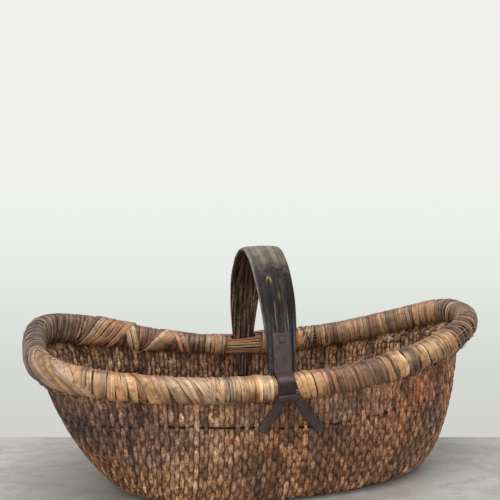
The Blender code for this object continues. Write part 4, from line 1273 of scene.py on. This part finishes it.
def handle_marks(u, tall, width, on_face):
    """Cracks and the chip on the front leg: darkness, paleness and depth."""
    cleft = bare = sink = u * tall * 0
    for across, low, high, spread, depth, paleness in CRACKS:
        reach = smooth((tall - low * MM) / (8 * MM)) * smooth((high * MM - tall) / (8 * MM))
        wobble = 0.03 * value_noise(71, tall / (9 * MM), across * 9)
        crack = bell(u, across + wobble, spread) * reach * on_face
        cleft = np.maximum(cleft, crack * depth)
        bare = np.maximum(bare, crack * paleness)
        sink = sink + 0.5 * MM * crack * depth
    above_chip = (tall - CHIP_HEIGHT) / CHIP_SIZE[1]
    ring_place = np.hypot((u - CHIP_ACROSS) * width / 2 / CHIP_SIZE[0], above_chip)
    broken = 0.45 + 0.45 * value_noise(75, u * 14, tall / (2.6 * MM))
    chip_edge = bell(ring_place, 1.0, 0.24) * smooth((above_chip + 0.6) / 0.8) * on_face
    bare = np.maximum(bare, chip_edge * np.clip(broken, 0, 0.8))
    cleft = np.maximum(cleft, 0.8 * bell(ring_place, 0, 0.55) * on_face)
    return cleft, bare, sink + 1.0 * MM * bell(ring_place, 0, 0.75) * on_face


def build_handle(finish):
    """Crowned strap above the rim with worn edges, thin tapered tongues below it."""
    line, sides, marks = handle_line()
    u, v = (value[None] for value in box_outline(HANDLE_SIDES, 4.5))
    tall, marks = line[:, 2:], marks[:, None]
    width = handle_width(tall)
    depth = lerp(TONGUE_THICKNESS, HANDLE_THICKNESS, smooth((tall - RIM_CREST_HEIGHT) / (9 * MM)))
    crown_share = (tall - PLATE_TOP_HEIGHT) / (HANDLE_TOP_HEIGHT - PLATE_TOP_HEIGHT) * 2
    outer = np.clip(v, 0, 1)
    front = (np.arange(HANDLE_STEPS) < HANDLE_STEPS // 2)[:, None]
    cleft, bare, sink = handle_marks(u, tall, width, front * (v > 0.5))
    rough = 0.22 * MM * value_noise(73, u * 6 + 20, marks / (9 * MM))
    edge_wave = 1 + 0.012 * value_noise(79, np.sign(u) + 5, marks / (14 * MM))
    proud = (-depth / 2 * (1 - v) + HANDLE_CROWN * smooth(crown_share) * (1 - u ** 2) * outer
             - sink + rough * outer)
    normals = np.cross(tangents(line[None]), sides[None])
    if normals[0, HANDLE_STEPS // 2, 2] < 0:
        normals = -normals
    rings = sweep(line[None], normals, joined(width / 2 * u * edge_wave, proud)[None])
    # Paler edges: wear and a painted highlight; the front leg's right edge: a painted highlight
    edges_worn = smooth((np.abs(u) - 0.93) / 0.06) * smooth((tall - EDGE_WEAR_AND_HIGHLIGHT_FROM) / (40 * MM))
    leg_worn = smooth((u - 0.90) / 0.06) * smooth((tall - LEG_HIGHLIGHT_FROM) / (20 * MM)) * front
    worn = (0.77 * smooth((tall - CROWN_WORN_FROM) / (46 * MM)) ** 2 * outer
            + 0.40 * edges_worn + 0.60 * leg_worn)
    cool = smooth((COOL_UP_TO - tall) / (30 * MM))
    inner = np.clip(-v * 2, 0, 1)
    # Painted shade on the upper part of the inside
    cleft = np.maximum(cleft, 0.50 * inner * smooth((tall - SHADED_FROM) / (30 * MM)))
    piece = add_piece("handle_strap", rings, finish, "bent_wood",
                      grain=joined(width / 2 * u, marks, 0.3 * outer)[None], worn=worn[None],
                      inner=inner[None], bare=bare[None], cleft=cleft[None], cool=cool[None])
    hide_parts("handle_bow")


# Irons at the handle's feet

IRON_THICKNESS = 2.4 * MM
STRAP_STEPS = 90
IRON_SIDES = 36
PLATE_WIDTH = 24 * MM
PLATE_FOOT_HEIGHT = 176 * MM
EYE_WIDTH = 27 * MM
EYE_RADIUS = 5.1 * MM
EYE_OUT = 17.4 * MM
EYE_HEIGHT = 143 * MM
EYE_STEPS = 30
LEG_WIDTH = 12.5 * MM
LEG_THICKNESS = 3.8 * MM
LEG_STEPS = 40
LEG_FOOT_OUT = 9.4 * MM
# Each leg of a fork: name, top and foot along the rim, and height of its foot
LEGS = (("left", -8 * MM, -33 * MM, 101 * MM), ("right", 11 * MM, 45 * MM, 96 * MM))
# The strap below its plate, in mm: outward, up and width
STRAP_STOPS = np.array([(-1.5, 14.2, 23.5), (5, 12.2, 23.2), (10.5, 10.6, 22.4), (14.4, 7.6, 21.8),
                        (15.3, 3, 21.6), (15.3, -5, 21.6), (15.3, -11.5, 22.4)]) * MM


def add_iron(name, line, widths, thickness, normals, painted_shade_and_highlight, finish, flatness=6.0):
    """Forged bar along a line: outlines of a rounded oblong, hammered a little uneven."""
    u, v = box_outline(IRON_SIDES, flatness)
    run = np.arange(len(line))[:, None]
    ripple = 1 + 0.02 * value_noise(91, run / 7, np.sign(u)[None] + 3)
    dent = 0.18 * MM * value_noise(93, run / 5, u[None] * 3 + 9)
    sections = np.stack([widths[:, None] / 2 * u * ripple,
                         thickness[:, None] / 2 * v + dent * (v > 0)], -1)
    normals = np.broadcast_to(normals, line.shape)
    # Painted shade on the bar's narrow sides, added to the painted shade and highlight given
    edge = np.clip(np.abs(u) ** 12 * 0.5 + painted_shade_and_highlight[:, None], 0, 1)
    return add_piece(name, sweep(line[None], normals[None], sections[None]), finish, "forged_iron",
                     edge=edge[None])


def build_strap(foot, name, face, finish):
    """Plate on the handle, and neck over the rim down to the eye."""
    half = face[:HANDLE_STEPS // 2] if foot.index == 0 else face[:HANDLE_STEPS // 2:-1]
    plate = read_line(np.linspace(PLATE_TOP_HEIGHT, PLATE_FOOT_HEIGHT, 24), half[:, 2], half)
    plate = plate + foot.outward * (0.3 * MM + IRON_THICKNESS / 2)
    plate = np.insert(plate, 3, PLATE_WIDTH, 1)
    neck = [[*foot.at(0, out, up), width] for out, up, width in STRAP_STOPS]
    line = np.concatenate([plate, neck])
    run = distances(line[:, :3])
    line = read_line(np.linspace(0, run[-1], STRAP_STEPS), run, line)
    for _ in range(4):
        line[1:-1] = (line[:-2] + 2 * line[1:-1] + line[2:]) / 4
    corner = smooth(np.arange(STRAP_STEPS) / 2.2 + 0.25)
    points, widths = line[:, :3], line[:, 3] * lerp(0.86, 1.0, corner)
    up_here = (points - foot.here) @ foot.up
    out_here = (points - foot.here) @ foot.outward
    # Painted shade: a dark band over the hoop's top and a darker neck below the bend
    band = bell(up_here, 13 * MM, 3.5 * MM) * 0.55
    painted_shade_and_highlight = np.clip(0.75 * smooth((8 * MM - up_here) / (4 * MM)) + band, 0, 0.85)
    # Painted highlight along the bend over the rim
    painted_shade_and_highlight = painted_shade_and_highlight - 0.5 * bell(up_here, 7.5 * MM, 1.6 * MM) * (out_here > 8 * MM)
    normals = unit(np.cross(tangents(points[None])[0], foot.along))
    facing = normals @ foot.outward + normals @ foot.up
    normals = np.where(facing[:, None] < 0, -normals, normals)
    strap = add_iron(name + "_strap_band", points, widths, np.full(STRAP_STEPS, IRON_THICKNESS),
                     normals, painted_shade_and_highlight, finish)
    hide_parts(name + "_strap")


def build_eye(foot, name, finish):
    """The strap's rolled end."""
    reach = np.linspace(-1, 1, EYE_STEPS)
    barrel = np.array([foot.at(EYE_WIDTH / 2 * share, EYE_OUT, foot.up_to(EYE_HEIGHT))
                       for share in reach])
    girth = (2 * EYE_RADIUS * (1 - 0.10 * reach ** 4)
             * np.sqrt(np.clip(1.02 - np.abs(reach) ** 18, 0, 1)))
    # The eye darkened throughout by painted shade
    add_iron(name + "_strap_eye", barrel, girth, girth, foot.outward, np.full(EYE_STEPS, 0.62),
             finish, 2.4)


def build_fork(foot, name, finish):
    """Two flat legs from the eye to the wall."""
    down = np.linspace(0, 1, LEG_STEPS)
    ends = np.sqrt(np.clip(1 - np.clip((down - 0.9) / 0.1, 0, 1) ** 2 * 0.8, 0, 1))
    for side, top, foot_reach, low in LEGS:
        bow = -1.8 * MM * np.sin(math.pi * down) * np.sign(foot_reach)
        places = (lerp(top, foot_reach, down) + bow,
                  lerp(EYE_OUT + 0.6 * MM, LEG_FOOT_OUT, smooth(down)) + 0.4 * MM,
                  lerp(foot.up_to(EYE_HEIGHT), foot.up_to(low), down))
        # Painted shade on the legs, darkest at their tops under the eye
        add_iron(f"{name}_fork_{side}", foot.at(*(place[:, None] for place in places)),
                             LEG_WIDTH * lerp(0.9, 1.0, down) * ends, LEG_THICKNESS * ends,
                             foot.outward, 0.15 + 0.4 * (1 - down), finish, 4.0)
    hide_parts(name + "_fork")


def build_irons(finish):
    """Strap, eye and fork at each foot of the handle."""
    face = handle_line()[0]
    for foot, name in zip(FEET, ("front", "rear")):
        build_strap(foot, name, face, finish)
        build_eye(foot, name, finish)
        build_fork(foot, name, finish)


def dress_rivets(finish):
    for node in ("front_rivet", "rear_rivet"):
        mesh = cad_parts[node].data
        mesh.materials.clear()
        mesh.materials.append(finish)


# Stage, lamps and camera

CAMERA_PLACE = (-0.28684, -1.36047, 0.53576)
CAMERA_AZIMUTH = math.radians(-11.659)
CAMERA_ELEVATION = math.radians(9.444)
FRAME_PIXELS = 500
FOCAL_PIXELS = 1078.31
SENSOR = 36.0
SLAB_BACK_EDGE = 0.141
STAGE_SIZE = 12.0
WALL_COLOUR = (240, 241, 238)
# Tone of the ground behind the slab, by a quarter of its distance in metres: painted shade near the
# slab
BACKDROP_PAINTED_SHADE_TONES = ((0.035, (208, 209, 203)), (0.10, (212, 214, 208)), (0.20, (220, 224, 218)),
              (0.36, (230, 235, 229)), (0.60, (237, 240, 236)), (1.0, WALL_COLOUR))


def build_camera():
    a, e = CAMERA_AZIMUTH, CAMERA_ELEVATION
    back = Vector((math.sin(a) * math.cos(e), -math.cos(a) * math.cos(e), math.sin(e)))
    right = Vector((math.cos(a), math.sin(a), 0))
    lens = bpy.data.cameras.new("photo_camera")
    lens.sensor_width = SENSOR
    lens.lens = FOCAL_PIXELS / FRAME_PIXELS * SENSOR
    camera = add_object("photo_camera", lens)
    turn = Matrix((right, back.cross(right), back)).transposed().to_4x4()
    camera.matrix_world = Matrix.Translation(CAMERA_PLACE) @ turn
    bpy.context.scene.camera = camera


def stage_finish():
    """Grey marble slab, and beyond its back edge a plain pale ground under painted shade that pales
    with distance.
    """
    finish = Finish("stage_finish", roughness=0.5, specular=0.3)
    turned = finish.node("Mapping", finish.node("TexCoord", output="Object"),
                         Rotation=(0, 0, -CAMERA_AZIMUTH))
    back = finish.node("SeparateXYZ", turned, output="Y")
    cloud = finish.noise(finish.node("Mapping", turned, Scale=(5, 9, 1)), 1.0, 7, 0.62)
    vein = finish.noise(finish.node("Mapping", turned, Scale=(6, 13, 1)), 1.0, 8, 0.7)
    stone = finish.between(cloud, 0.36, 0.64, (172, 168, 157), (192, 190, 181))
    line = finish.ramp(vein, (0.45, 0.0), (0.495, 0.32), (0.505, 0.32), (0.55, 0.0))
    finish.done(finish.mix(line, stone, linear(140, 134, 123)),
                finish.ramp(cloud, (0.3, 0.45), (0.7, 0.6)))
    # Painted shade on the ground behind the slab, fading with distance
    tone = finish.ramp(finish.node("Math", back, 0.25, operation="MULTIPLY"),
                       *((stop, linear(*colour)) for stop, colour in BACKDROP_PAINTED_SHADE_TONES))
    far = finish.node("MixShader", finish.node("LightPath", output="Is Camera Ray"),
                      finish.node("BsdfDiffuse", tone), finish.node("Emission", tone))
    beyond = finish.node("Math", back, SLAB_BACK_EDGE, operation="GREATER_THAN")
    finish.feed(finish.tree.nodes["Material Output"].inputs["Surface"],
                finish.node("MixShader", beyond, finish.shader.outputs[0], far))
    return finish.material


def build_stage():
    half = STAGE_SIZE / 2
    mesh = bpy.data.meshes.new("stage_floor")
    mesh.from_pydata([(-half, -half, 0), (half, -half, 0), (half, half, 0), (-half, half, 0)], [],
                     [(0, 1, 2, 3)])
    mesh.materials.append(stage_finish())
    floor = add_object("stage_floor", mesh)
    floor.location.z = CAD_BOX[0].z - 0.2 * MM


def add_lamp(name, place, target, size, power):
    lamp = bpy.data.lights.new(name, "AREA")
    lamp.shape = "DISK"
    lamp.size = size
    lamp.energy = power
    holder = add_object(name, lamp)
    holder.location = place
    holder.rotation_mode = "QUATERNION"
    holder.rotation_quaternion = (Vector(target) - Vector(place)).to_track_quat("-Z", "Y")


def build_light():
    """Broad soft light from above and a weaker one from the front left, in an even room."""
    add_lamp("top_light", (-0.25, -0.35, 2.0), (0, 0, 0.1), 1.6, 22)
    add_lamp("front_light", (-0.9, -2.0, 1.1), (0, 0, 0.1), 1.4, 12)
    world = bpy.data.worlds.new("room")
    world.use_nodes = True
    tree = world.node_tree
    sky = tree.nodes["Background"]
    sky.inputs["Color"].default_value = (0.93, 0.96, 1.0, 1)
    sky.inputs["Strength"].default_value = 0.75
    seen = tree.nodes.new("ShaderNodeBackground")
    seen.inputs["Color"].default_value = (*linear(*WALL_COLOUR), 1)
    choice = tree.nodes.new("ShaderNodeMixShader")
    rays = tree.nodes.new("ShaderNodeLightPath")
    for source, socket in zip((rays.outputs["Is Camera Ray"], sky.outputs[0], seen.outputs[0]),
                              choice.inputs):
        tree.links.new(source, socket)
    tree.links.new(choice.outputs[0], tree.nodes["World Output"].inputs["Surface"])
    bpy.context.scene.world = world
    bpy.context.scene.view_settings.view_transform = "Standard"


def main():
    build_camera()
    reed, cord = reed_finish(), cord_finish()
    weave = Weave()
    build_reeds(weave, reed)
    build_wefts(weave, weft_finish())
    build_waist_cord(weave, cord)
    build_floor_reeds(reed)
    build_floor_cords(cord)
    build_strands(rod_finish())
    splint = splint_finish()
    build_binding(splint)
    build_frays(splint)
    build_handle(wood_finish())
    iron = iron_finish()
    build_irons(iron)
    dress_rivets(iron)
    build_stage()
    build_light()


main()
